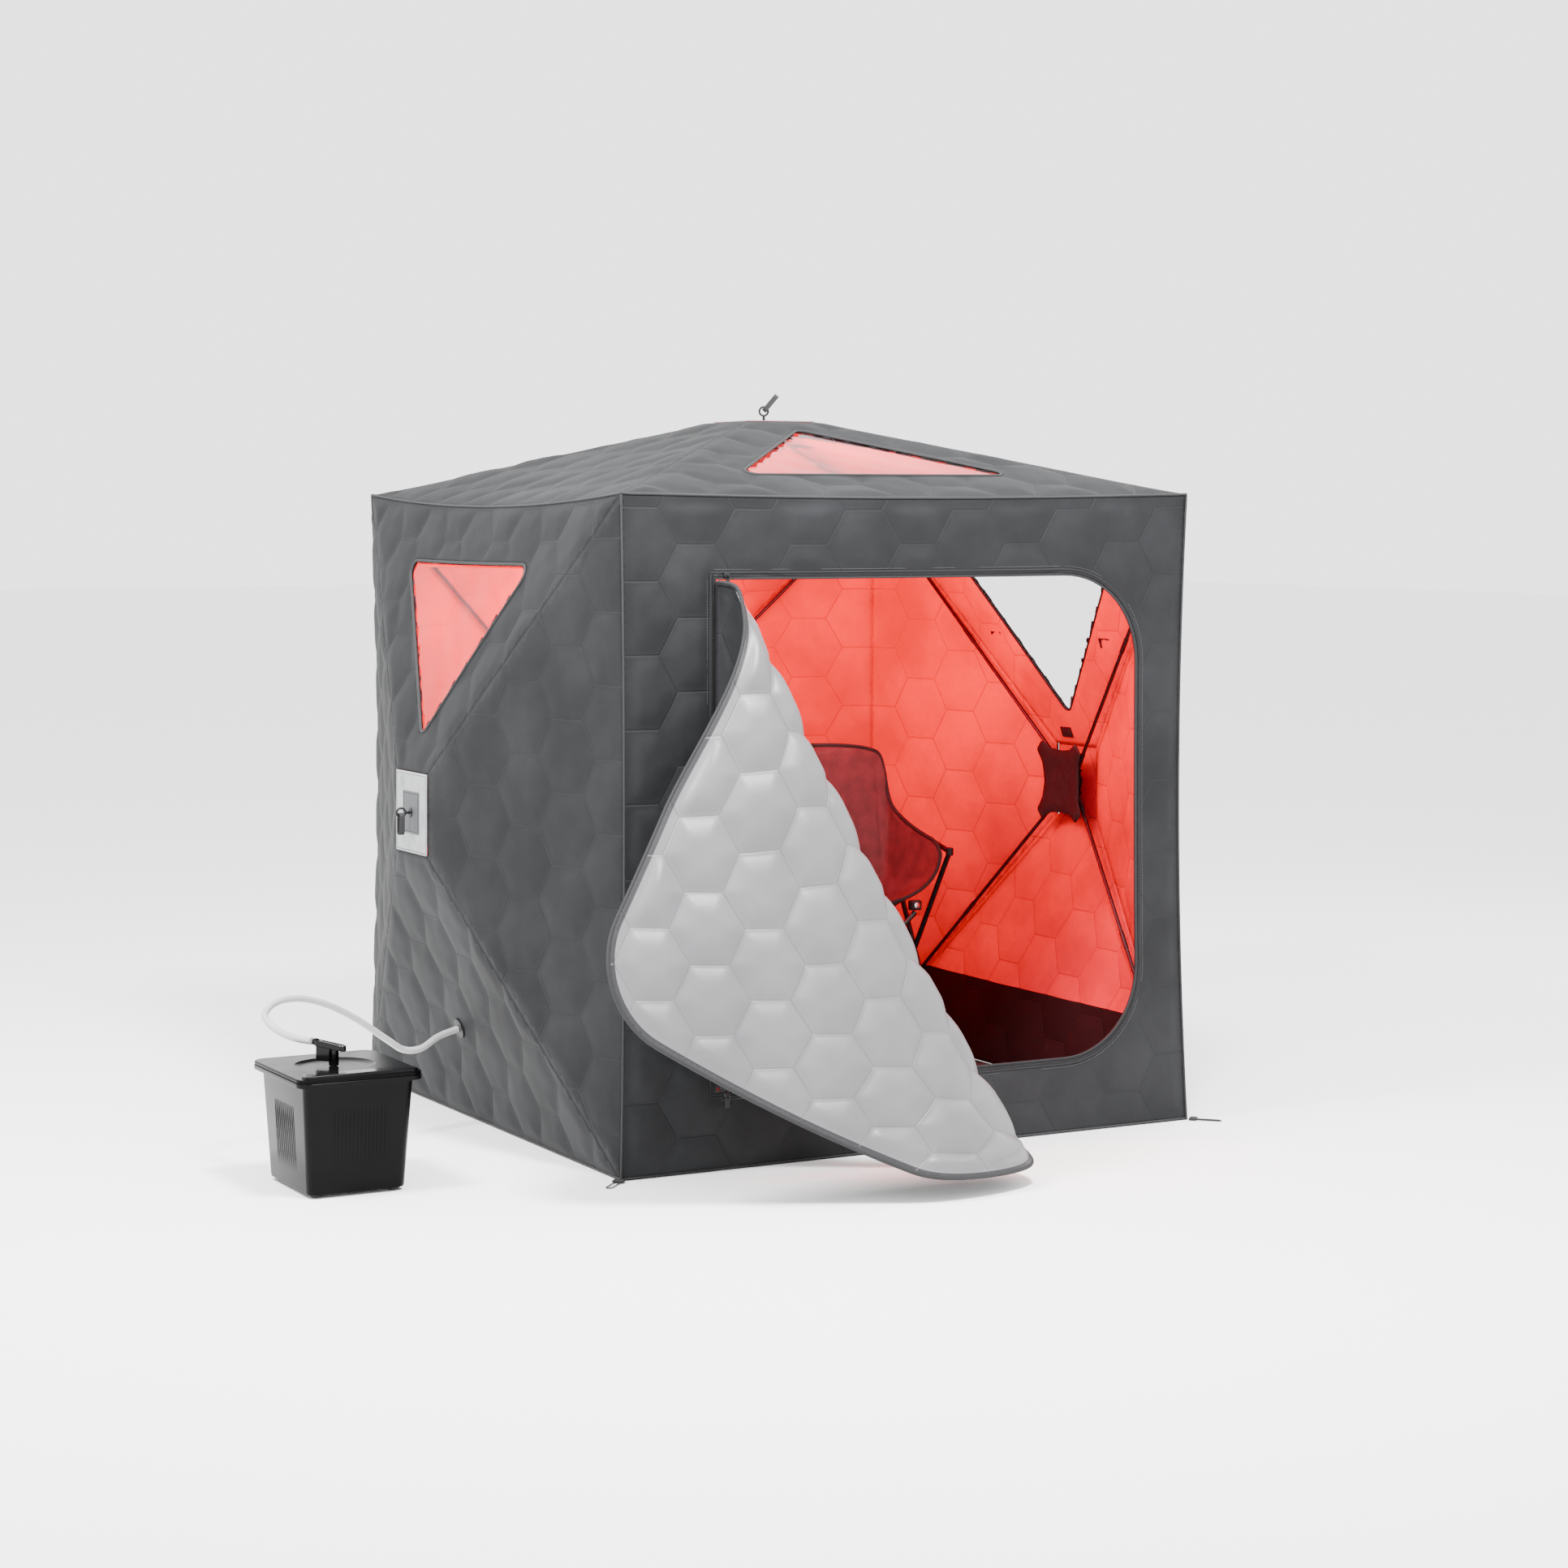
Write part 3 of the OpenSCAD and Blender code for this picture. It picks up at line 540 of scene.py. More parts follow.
def seamDepth(u, v):
    best = np.full(len(u), -1.0)
    h = cell["height"] / 2
    for shift in (0, 1):
        x = np.abs((u - shift * cell["column"] + cell["column"]) % (2 * cell["column"]) - cell["column"])
        y = np.abs((v - shift * h + h) % (2 * h) - h)
        best = np.maximum(best, h - np.maximum(y, 0.866 * x + 0.5 * y))
    return best


def puffAt(u, v, reach=0.07):
    t = np.clip(seamDepth(u, v) / reach, 0, 1)
    return t * (2 - t)


def fold(u, v, seed):
    return (
        np.sin(u * 9 + v * 5 + seed) * 0.5 + np.sin(u * 17 - v * 13 + seed * 2.1) * 0.3
        + np.sin(u * 31 + v * 27 + seed * 3.7) * 0.2
    )


def inside(points, loop):
    x, y = points[:, 0], points[:, 1]
    hit = np.zeros(len(points), bool)
    for (x0, y0), (x1, y1) in zip(loop, np.roll(loop, -1, 0)):
        if y0 == y1:
            continue
        cross = ((y0 > y) != (y1 > y)) & (x < (x1 - x0) * (y - y0) / (y1 - y0) + x0)
        hit ^= cross
    return hit


def edgeDistance(points, loops):
    best = np.full(len(points), 9.0)
    for loop in loops:
        for a, b in zip(loop, np.roll(loop, -1, 0)):
            d = b - a
            size = d @ d
            if size < 1e-14:
                continue
            t = np.clip(((points - a) @ d) / size, 0, 1)
            best = np.minimum(best, np.linalg.norm(points - a - t[:, None] * d, axis=1))
    return best


def dense(loop, spacing):
    out = []
    loop = np.asarray(loop, float)
    for a, b in zip(loop, np.roll(loop, -1, 0)):
        steps = max(1, int(round(np.linalg.norm(b - a) / spacing)))
        out.extend(a + (b - a) * k / steps for k in range(steps))
    return np.array(out)


def roundCorners(points, radius, steps=8):
    points = np.asarray(points, float)
    out = []
    for i, p in enumerate(points):
        r = radius[i] if hasattr(radius, "__len__") else radius
        a = points[i - 1] - p
        b = points[(i + 1) % len(points)] - p
        a /= np.linalg.norm(a)
        b /= np.linalg.norm(b)
        if r < 1e-6:
            out.append(p)
            continue
        angle = math.acos(np.clip(a @ b, -1, 1))
        reach = r / math.tan(angle / 2)
        mid = (a + b) / np.linalg.norm(a + b) * r / math.sin(angle / 2)
        for k in range(steps + 1):
            start = a * reach - mid
            end = b * reach - mid
            s = k / steps
            swing = math.pi - angle
            ray = (math.sin((1 - s) * swing) * start + math.sin(s * swing) * end) / math.sin(swing)
            out.append(p + mid + ray)
    return np.array(out)


def flatMesh(outer, holes, spacing):
    loops = [dense(outer, spacing)] + [dense(h, spacing) for h in holes]
    low, high = loops[0].min(0), loops[0].max(0)
    rows = int((high[1] - low[1]) / (spacing * 0.87)) + 1
    grid = []
    for j in range(rows):
        xs = np.arange(low[0] + (spacing / 2 if j % 2 else 0), high[0], spacing)
        grid.append(np.stack([xs, np.full(len(xs), low[1] + j * spacing * 0.87)], 1))
    grid = np.concatenate(grid)
    keep = inside(grid, loops[0])
    for hole in loops[1:]:
        keep &= ~inside(grid, hole)
    grid = grid[keep]
    grid = grid[edgeDistance(grid, loops) > spacing * 0.5]
    points = np.concatenate(loops + [grid])
    edges = []
    base = 0
    for loop in loops:
        n = len(loop)
        edges.extend((base + k, base + (k + 1) % n) for k in range(n))
        base += n
    verts, _, faces, *_ = geometry.delaunay_2d_cdt([Vector(p) for p in points], edges, [], 0, 1e-7)
    verts = np.array([tuple(v) for v in verts])
    faces = np.array([f for f in faces if len(f) == 3])
    centers = verts[faces].mean(1)
    keep = inside(centers, loops[0])
    for hole in loops[1:]:
        keep &= ~inside(centers, hole)
    faces = faces[keep]
    a, b, c = (verts[faces[:, i]] for i in range(3))
    area = (b[:, 0] - a[:, 0]) * (c[:, 1] - a[:, 1]) - (b[:, 1] - a[:, 1]) * (c[:, 0] - a[:, 0])
    faces[area < 0] = faces[area < 0][:, ::-1]
    faces = faces[np.abs(area) > 1e-12]
    used = np.unique(faces)
    remap = np.full(len(verts), -1)
    remap[used] = np.arange(len(used))
    return verts[used], remap[faces], loops


# A cloth of two skins and a rim, mapped from its flat cut.
def clothPanel(name, outer, holes, spacing, skin, mats):
    flat, faces, loops = flatMesh(outer, holes, spacing)
    rim = edgeDistance(flat, loops)
    front, back = skin(flat, rim)
    n = len(flat)
    seen = {}
    for f in faces:
        for a, b in ((f[0], f[1]), (f[1], f[2]), (f[2], f[0])):
            seen[(a, b)] = True
    border = [e for e in seen if (e[1], e[0]) not in seen]
    allFaces = [tuple(f) for f in faces] + [(f[2] + n, f[1] + n, f[0] + n) for f in faces]
    allFaces += [(b, a, a + n, b + n) for a, b in border]
    indices = [0] * len(faces) + [1] * len(faces) + [min(2, len(mats) - 1)] * len(border)
    obj = addMesh(name, np.concatenate([front, back]), allFaces, mats, indices,
                  np.concatenate([flat, flat]), np.concatenate([rim, rim]))
    return obj


quilt = {"spacing": 0.015, "outPuff": 0.009, "inPuff": 0.006, "seamFade": 0.04, "hollow": 0.010}
slope = math.atan(tent["wallBulge"] / (tent["half"] - tent["hub"]))


def facetNormal(panel, k):
    pitch = math.atan(panel["bulge"] / (tent["half"] - tent["hub"]))
    out = [(0, -1), (1, 0), (0, 1), (-1, 0)][k]
    return np.array([out[0] * math.sin(pitch), out[1] * math.sin(pitch), math.cos(pitch)])


def panelSkin(panel, k, seed):
    normal = facetNormal(panel, k)

    def skin(flat, rim):
        u, v = flat[:, 0], flat[:, 1]
        m = np.maximum(np.abs(u), np.abs(v))
        t = np.clip((tent["half"] - m) / (tent["half"] - tent["hub"]), 0, 1)
        base = np.stack([u, v, panel["bulge"] * t], 1)
        fade = np.clip(rim / quilt["seamFade"], 0, 1)
        fade = fade * fade * (3 - 2 * fade)
        puff = puffAt(u, v) * fade
        other = np.minimum(np.abs(u), np.abs(v)) / np.maximum(m, 1e-6)
        hollow = quilt["hollow"] * (1 - other**2) * 4 * t * (1 - t) * fade
        wrinkle = 0.0025 * fold(u, v, seed) * fade
        front = base + normal * (quilt["outPuff"] * puff - hollow + wrinkle)[:, None]
        back = base - normal * (tent["thick"] + quilt["inPuff"] * puff * 0.8 + hollow - wrinkle)[:, None]
        return drape(panel["place"](front)), drape(panel["place"](back))

    return skin


def turnFlat(points, k):
    points = np.asarray(points, float)
    for _ in range(k):
        points = np.stack([-points[:, 1], points[:, 0]], 1)
    return points


def blendFacet(obj, side, k):
    panel = panels[side]
    out = np.array([(0, -1), (1, 0), (0, 1), (-1, 0)][k], float)
    for t in tent["blend"]:
        reach = out * (tent["half"] - (tent["half"] - tent["hub"]) * t)
        tuple(float(x) for x in panel["place"]([reach[0], reach[1], 0])[0])
    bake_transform(obj)


windowCut = {
    "side": {"points": [(-0.45, 0.715), (0.0, 0.212), (0.45, 0.715)], "facet": 2},
    "roof": {"points": [(-0.45, -0.70), (0.45, -0.70), (0.0, -0.21)], "facet": 0},
    "radius": 0.03,
}
windows = {"left": "side", "right": "side", "roof": "roof"}
hubReach = tent["hub"] - 0.0005
facetLine = [(-0.8992, -0.8992), (0.8992, -0.8992), (hubReach, -hubReach), (-hubReach, -hubReach)]
seed = 1
for side, panel in panels.items():
    for k in range(4):
        seed += 1
        outline = turnFlat(facetLine, k)
        holes = []
        if side in windows and windowCut[windows[side]]["facet"] == k:
            holes.append(roundCorners(windowCut[windows[side]]["points"], windowCut["radius"]))
        if side == "left" and k == 0:
            turn = np.arange(28) * 2 * math.pi / 28
            holes.append(np.stack([0.021 * np.cos(turn), -0.621 + 0.021 * np.sin(turn)], 1))
        obj = clothPanel(f"{side}Cloth{k + 1}", outline, holes, quilt["spacing"],
                         panelSkin(panel, k, seed), [shellOut, shellIn, webbing])
        blendFacet(obj, side, k)
    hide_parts("roof" if side == "roof" else side + "_wall")
print("walls")

# Clear windows with bound edges.
pane = {"depth": 0.003, "thick": 0.0012, "wave": 0.0015}


def paneSkin(panel, k, seed):
    normal = facetNormal(panel, k)

    def skin(flat, rim):
        u, v = flat[:, 0], flat[:, 1]
        m = np.maximum(np.abs(u), np.abs(v))
        t = np.clip((tent["half"] - m) / (tent["half"] - tent["hub"]), 0, 1)
        base = np.stack([u, v, panel["bulge"] * t], 1)
        lift = pane["wave"] * fold(u * 1.4, v * 1.4, seed) * np.clip(rim / 0.05, 0, 1)
        front = base + normal * (lift - pane["depth"])[:, None]
        back = front - normal * pane["thick"]
        return drape(panel["place"](front)), drape(panel["place"](back))

    return skin


for side, kind in windows.items():
    panel = panels[side]
    k = windowCut[kind]["facet"]
    loop = roundCorners(windowCut[kind]["points"], windowCut["radius"])
    obj = clothPanel(side + "Pane", loop, [], 0.02, paneSkin(panel, k, 5.0 + k), [vinyl])
    blendFacet(obj, side, k)
    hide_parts(side + "_window")
    line = dense(loop, 0.01)
    front, _ = panelSkin(panel, k, 0.0)(line, np.zeros(len(line)))
    gather = Gather()
    gather.add(*tubeShape(front, 0.0042, 8, closed=True))
    _, back = panelSkin(panel, k, 0.0)(line, np.zeros(len(line)))
    gather.add(*tubeShape(back, 0.0036, 8, closed=True))
    trim = gather.build(side + "PaneTrim", [webbing], 60)
    blendFacet(trim, side, k)
print("windows")

# Front wall with the doorway.
doorway = {"left": -0.625, "right": 0.73, "low": 0.21, "high": 1.575, "round": 0.25}


def doorLoop(grow):
    d = doorway
    points = [
        (d["left"] - grow, d["low"] - grow), (d["right"] + grow, d["low"] - grow),
        (d["right"] + grow, d["high"] + grow), (d["left"] - grow, d["high"] + grow),
    ]
    return roundCorners(points, [0.0, d["round"] + grow, d["round"] + grow, 0.0], 16)


def frontSkin(flat, rim):
    u, v = flat[:, 0], flat[:, 1]
    fade = np.clip((rim - 0.012) / quilt["seamFade"], 0, 1)
    fade = fade * fade * (3 - 2 * fade)
    puff = puffAt(u, v) * fade
    wrinkle = 0.0030 * fold(u * 1.3, v * 1.3, 9.0) * np.clip(rim / 0.08, 0, 1)
    front = np.stack([u, -0.9 - quilt["outPuff"] * puff - wrinkle, v], 1)
    back = np.stack([u, -0.892 + quilt["inPuff"] * puff - wrinkle, v], 1)
    return drape(front), drape(back)


frontOutline = [(-0.8995, 0.0), (0.8995, 0.0), (0.8995, 1.7985), (-0.8995, 1.7985)]
frontWall = clothPanel(
    "frontCloth", frontOutline, [doorLoop(0.0)], 0.014, frontSkin, [shellOut, shellIn, webbing])
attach(frontWall, "tent")
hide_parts("front_wall")


# Repeats along a line: small blocks turned to follow it.
def makeRowGroup():
    group = bpy.data.node_groups.new("blockRow", "GeometryNodeTree")
    group.interface.new_socket("Line", in_out="INPUT", socket_type="NodeSocketGeometry")
    group.interface.new_socket("Spacing", in_out="INPUT", socket_type="NodeSocketFloat")
    group.interface.new_socket("Size", in_out="INPUT", socket_type="NodeSocketVector")
    group.interface.new_socket("Surface", in_out="INPUT", socket_type="NodeSocketMaterial")
    group.interface.new_socket("Blocks", in_out="OUTPUT", socket_type="NodeSocketGeometry")
    source = group.nodes.new("NodeGroupInput")
    target = group.nodes.new("NodeGroupOutput")
    curve = group.nodes.new("GeometryNodeMeshToCurve")
    resample = group.nodes.new("GeometryNodeResampleCurve")
    resample.mode = "LENGTH"
    cube = group.nodes.new("GeometryNodeMeshCube")
    tangent = group.nodes.new("GeometryNodeInputTangent")
    align = group.nodes.new("FunctionNodeAlignRotationToVector")
    align.axis = "X"
    place = group.nodes.new("GeometryNodeInstanceOnPoints")
    real = group.nodes.new("GeometryNodeRealizeInstances")
    paint = group.nodes.new("GeometryNodeSetMaterial")
    link(group, source.outputs["Line"], curve.inputs[0])
    link(group, curve.outputs[0], resample.inputs["Curve"])
    link(group, source.outputs["Spacing"], resample.inputs["Length"])
    link(group, source.outputs["Size"], cube.inputs["Size"])
    link(group, tangent.outputs[0], align.inputs["Vector"])
    link(group, resample.outputs[0], place.inputs["Points"])
    link(group, cube.outputs["Mesh"], place.inputs["Instance"])
    link(group, align.outputs[0], place.inputs["Rotation"])
    link(group, place.outputs[0], real.inputs[0])
    link(group, real.outputs[0], paint.inputs["Geometry"])
    link(group, source.outputs["Surface"], paint.inputs["Material"])
    link(group, paint.outputs[0], target.inputs[0])
    return group


rowGroup = makeRowGroup()


def blockRow(name, points, spacing, size, mat, closed=False):
    mesh = bpy.data.meshes.new(name + "Line")
    n = len(points)
    edges = [(i, (i + 1) % n) for i in range(n if closed else n - 1)]
    mesh.from_pydata([tuple(map(float, p)) for p in points], edges, [])
    carrier = bpy.data.objects.new(name + "Line", mesh)
    bpy.context.scene.collection.objects.link(carrier)
    modifier = carrier.modifiers.new("row", "NODES")
    modifier.node_group = rowGroup
    keys = {s.name: s.identifier for s in rowGroup.interface.items_tree if s.in_out == "INPUT"}
    modifier[keys["Spacing"]] = spacing
    modifier[keys["Size"]] = size
    modifier[keys["Surface"]] = mat
    bpy.context.view_layer.update()
    ready = carrier.evaluated_get(bpy.context.evaluated_depsgraph_get())
    final = bpy.data.meshes.new_from_object(ready)
    final.name = name
    obj = bpy.data.objects.new(name, final)
    bpy.context.scene.collection.objects.link(obj)
    bpy.data.objects.remove(carrier)
    if not obj.data.materials:
        obj.data.materials.append(mat)
    return obj


# Zip band: tape, two raised cords and the teeth.
zipBand = {"width": 0.016, "thick": 0.0016, "pitch": 0.0032, "tooth": (0.0019, 0.0052, 0.0022)}


def bandPoints(grow, lift):
    loop = dense(doorLoop(grow), 0.012)
    flat = np.stack([loop[:, 0], np.full(len(loop), -0.9 - lift), loop[:, 1]], 1)
    return drape(flat)


def ribbonShape(inner, outer, back, closed=True):
    n = len(inner)
    verts = list(inner) + list(outer) + list(inner + back) + list(outer + back)
    faces = []
    for i in range(n if closed else n - 1):
        j = (i + 1) % n
        faces.append((i, j, n + j, n + i))
        faces.append((2 * n + i, 3 * n + i, 3 * n + j, 2 * n + j))
        faces.append((i, 2 * n + i, 2 * n + j, j))
        faces.append((n + i, n + j, 3 * n + j, 3 * n + i))
    if not closed:
        faces.append((0, n, 3 * n, 2 * n))
        faces.append((n - 1, 3 * n - 1, 4 * n - 1, 2 * n - 1))
    return verts, faces


def matchLoops(growA, growB, lift):
    a = doorLoop(growA)
    b = doorLoop(growB)
    outA, outB = [], []
    for i in range(len(a)):
        j = (i + 1) % len(a)
        steps = max(1, int(np.linalg.norm(a[j] - a[i]) / 0.015))
        for k in range(steps):
            outA.append(a[i] + (a[j] - a[i]) * k / steps)
            outB.append(b[i] + (b[j] - b[i]) * k / steps)
    made = []
    for loop in (outA, outB):
        loop = np.array(loop)
        made.append(drape(np.stack([loop[:, 0], np.full(len(loop), -0.9 - lift), loop[:, 1]], 1)))
    return made


gather = Gather()
inner, outer = matchLoops(0.0005, zipBand["width"], 0.0004)
gather.add(*ribbonShape(inner, outer, np.array([0, -zipBand["thick"] + 0.0004, 0])))
gather.add(*tubeShape(bandPoints(0.0155, 0.0018), 0.0022, 8, closed=True))
gather.add(*tubeShape(bandPoints(-0.001, 0.0018), 0.0026, 8, closed=True))
zipTape = gather.build("zipTape", [zipCloth], 40)
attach(zipTape, "tent")
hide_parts("zip_track")
zipLine = bandPoints(0.008, 0.0022)
teeth = blockRow("zipTeeth", zipLine, zipBand["pitch"], zipBand["tooth"], zipMetal, closed=True)
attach(teeth, "tent")
hem = blockRow("doorHem", bandPoints(0.024, 0.0012), 0.0075, (0.0042, 0.0012, 0.0009), greyCloth, closed=True)
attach(hem, "tent")
print("front wall")

# Corner and eave piping.
gather = Gather()
for sx, sy in ((-1, -1), (1, -1), (1, 1), (-1, 1)):
    line = np.array([(sx * 0.9, sy * 0.9, z) for z in np.linspace(0.0, 1.797, 60)])
    gather.add(*tubeShape(drape(line), 0.0032, 8))
for (ax, ay), (bx, by) in (((-1, -1), (1, -1)), ((1, -1), (1, 1)), ((1, 1), (-1, 1)), ((-1, 1), (-1, -1))):
    t = np.linspace(0, 1, 80)
    line = np.stack([0.9 * (ax + (bx - ax) * t), 0.9 * (ay + (by - ay) * t), np.full(80, 1.8)], 1)
    gather.add(*tubeShape(drape(line), 0.0034, 8))
    low = line * np.array([1.0, 1.0, 0.0]) + np.array([0, 0, 0.004])
    gather.add(*tubeShape(low, 0.0034, 8))
piping = gather.build("seamPiping", [webbing], 50)
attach(piping, "tent")

# Floor sheet.
def floorSkin(flat, rim):
    u, v = flat[:, 0], flat[:, 1]
    lift = 0.0016 * (1 + fold(u * 1.6, v * 1.6, 3.0)) * np.clip(rim / 0.05, 0, 1)
    front = np.stack([u, v, 0.0032 + lift * 0.5], 1)
    back = np.stack([u, v, np.full(len(u), 0.0004)], 1)
    return front, back


floorLine = [(-0.886, -0.886), (0.886, -0.886), (0.886, 0.886), (-0.886, 0.886)]
floorCloths = clothPanel("floorSheet", floorLine, [], 0.03, floorSkin, [floorCloth])
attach(floorCloths, "tent")
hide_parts("floor_mat")
print("piping and floor")

# Door flap from the same lines as the CAD.
flap = {
    "width": 1.355, "height": 1.365, "round": 0.25,
    "rows": (0.0, 0.68, 1.365),
    "net": np.array([
        [(-0.625, -0.907, 0.224), (-0.29, -1.08, 0.15), (0.05, -1.28, 0.09),
         (0.02, -1.45, 0.05), (-0.2, -1.57, 0.012)],
        [(-0.625, -0.907, 0.89), (-0.46, -1.05, 0.87), (-0.34, -1.24, 0.8),
         (-0.48, -1.36, 0.5), (-0.68, -1.4, 0.23)],
        [(-0.625, -0.907, 1.566), (-0.6, -0.98, 1.55), (-0.61, -1.04, 1.48),
         (-0.9, -1.15, 0.98), (-1.18, -1.25, 0.54)],
    ]),
    "outPuff": 0.008, "inPuff": 0.017,
}


def foldAt(h):
    return 0.2 + 0.75 * (1 - h / flap["height"])


def rowPoint(r, q):
    f = foldAt(flap["rows"][r])
    knots = np.array([0, f / 2, f, (f + flap["width"]) / 2, flap["width"]])
    net = flap["net"][r]
    grades = (net[1:] - net[:-1]) / np.diff(knots)[:, None]
    slopes = [grades[0]]
    for i in (1, 2, 3):
        before, after = knots[i] - knots[i - 1], knots[i + 1] - knots[i]
        slopes.append((grades[i - 1] * after + grades[i] * before) / (before + after))
    slopes = np.array(slopes + [grades[3]])
    i = np.clip(np.floor(q).astype(int), 0, 3)
    s = (q - i)[:, None]
    span = (knots[i + 1] - knots[i])[:, None]
    return (
        net[i] * (2 * s**3 - 3 * s**2 + 1) + slopes[i] * span * (s**3 - 2 * s**2 + s)
        + net[i + 1] * (3 * s**2 - 2 * s**3) + slopes[i + 1] * span * (s**3 - s**2)
    )


def flapPoint(a, h):
    f = foldAt(h)
    q = np.where(a <= f, 2 * a / f, 2 + 2 * (a - f) / (flap["width"] - f))
    b, c = flap["rows"][1], flap["rows"][2]
    w0 = ((h - b) * (h - c) / (b * c))[:, None]
    w1 = (h * (h - c) / (b * (b - c)))[:, None]
    w2 = (h * (h - b) / (c * (c - b)))[:, None]
    return rowPoint(0, q) * w0 + rowPoint(1, q) * w1 + rowPoint(2, q) * w2


def flapNormal(a, h):
    e = 0.002
    n = np.cross(flapPoint(a + e, h) - flapPoint(a - e, h), flapPoint(a, h + e) - flapPoint(a, h - e))
    return n / np.linalg.norm(n, axis=1)[:, None]


def flapSkin(flat, rim):
    a, h = flat[:, 0], flat[:, 1]
    base = flapPoint(a, h)
    normal = flapNormal(a, h)
    fade = np.clip((rim - 0.02) / 0.04, 0, 1)
    fade = fade * fade * (3 - 2 * fade)
    puff = puffAt(a + 0.03, h + 0.05) * fade
    wrinkle = 0.003 * fold(a, h, 4.0) * fade
    front = base + normal * (0.0035 + flap["outPuff"] * puff + wrinkle)[:, None]
    back = base - normal * (0.0035 + flap["inPuff"] * puff - wrinkle)[:, None]
    return front, back


flapLine = roundCorners(
    [(0, 0), (flap["width"], 0), (flap["width"], flap["height"]), (0, flap["height"])],
    [0.0, flap["round"], flap["round"], 0.0], 16)
leaf = clothPanel("doorFlap", flapLine, [], 0.012, flapSkin, [leafOut, leafLining, zipCloth])
uv = leaf.data.uv_layers["flat"]
values = np.zeros(len(leaf.data.loops) * 2, np.float32)
uv.data.foreach_get("uv", values)
values[0::2] += 0.03
values[1::2] += 0.05
uv.data.foreach_set("uv", values)
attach(leaf, "door")
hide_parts("door_leaf")
edgeFlat = dense(flapLine, 0.012)
edgeFlat = edgeFlat[edgeFlat[:, 0] > 0.0005]
order = np.argsort(np.arctan2(edgeFlat[:, 1] - 0.68, edgeFlat[:, 0] - 0.3))
edgeFlat = edgeFlat[order]
rimPoints = flapPoint(edgeFlat[:, 0], edgeFlat[:, 1])
gather = Gather()
gather.add(*tubeShape(rimPoints, 0.0052, 10))
binding = gather.build("flapBinding", [zipCloth], 60)
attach(binding, "door")
toothFlat = edgeFlat + (np.array([0.3, 0.68]) - edgeFlat) * 0.012
rimNormal = flapNormal(toothFlat[:, 0], toothFlat[:, 1])
toothLine = flapPoint(toothFlat[:, 0], toothFlat[:, 1]) + rimNormal * 0.0045
flapTeeth = blockRow("flapTeeth", toothLine, 0.0035, (0.0019, 0.0048, 0.0030), zipMetal)
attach(flapTeeth, "door")
print("door flap")

# Zip sliders with pulls.
for name, body, z in (("slider_top", "top_slider", 1.583), ("slider_bottom", "bottom_slider", 0.202)):
    gather = Gather()
    gather.add(*boxShape((-0.592, -0.9052, z), (0.017, 0.0052, 0.0115), 0.0016))
    gather.add(*boxShape((-0.592, -0.9105, z), (0.0065, 0.0052, 0.0055), 0.0012))
    obj = gather.build(name + "Body", [zipMetal], 35)
    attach(obj, body)
    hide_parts(name)
for name, body, z in (("pull_top", "top_pull", 1.583), ("pull_bottom", "bottom_pull", 0.202)):
    gather = Gather()
    bail = [(-0.592 + x, -0.911, z + y) for x, y in (
        (-0.0052, -0.012), (-0.0055, -0.004), (-0.0048, 0.0005), (0.0, 0.0012),
        (0.0048, 0.0005), (0.0055, -0.004), (0.0052, -0.012))]
    gather.add(*tubeShape(smoothPath(bail, 4), 0.0010, 8))
    gather.add(*boxShape((-0.592, -0.911, z - 0.0235), (0.0125, 0.0019, 0.0245), 0.0009))
    obj = gather.build(name + "Tab", [zipMetal], 35)
    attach(obj, body)
    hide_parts(name)

# Hubs: patch, lining cross, strap. The core and rods keep their CAD shape.
hubDetail = {"patch": 0.1142, "inner": 0.059, "coverReach": 0.155, "coverWide": 0.020, "coverWaist": 0.097}


def panelBody(side):
    return side + "_frame_hub"


def squareRing(half, level, step=0.008):
    loop = dense([(-half, -half), (half, -half), (half, half), (-half, half)], step)
    return np.stack([loop[:, 0], loop[:, 1], np.full(len(loop), level)], 1)


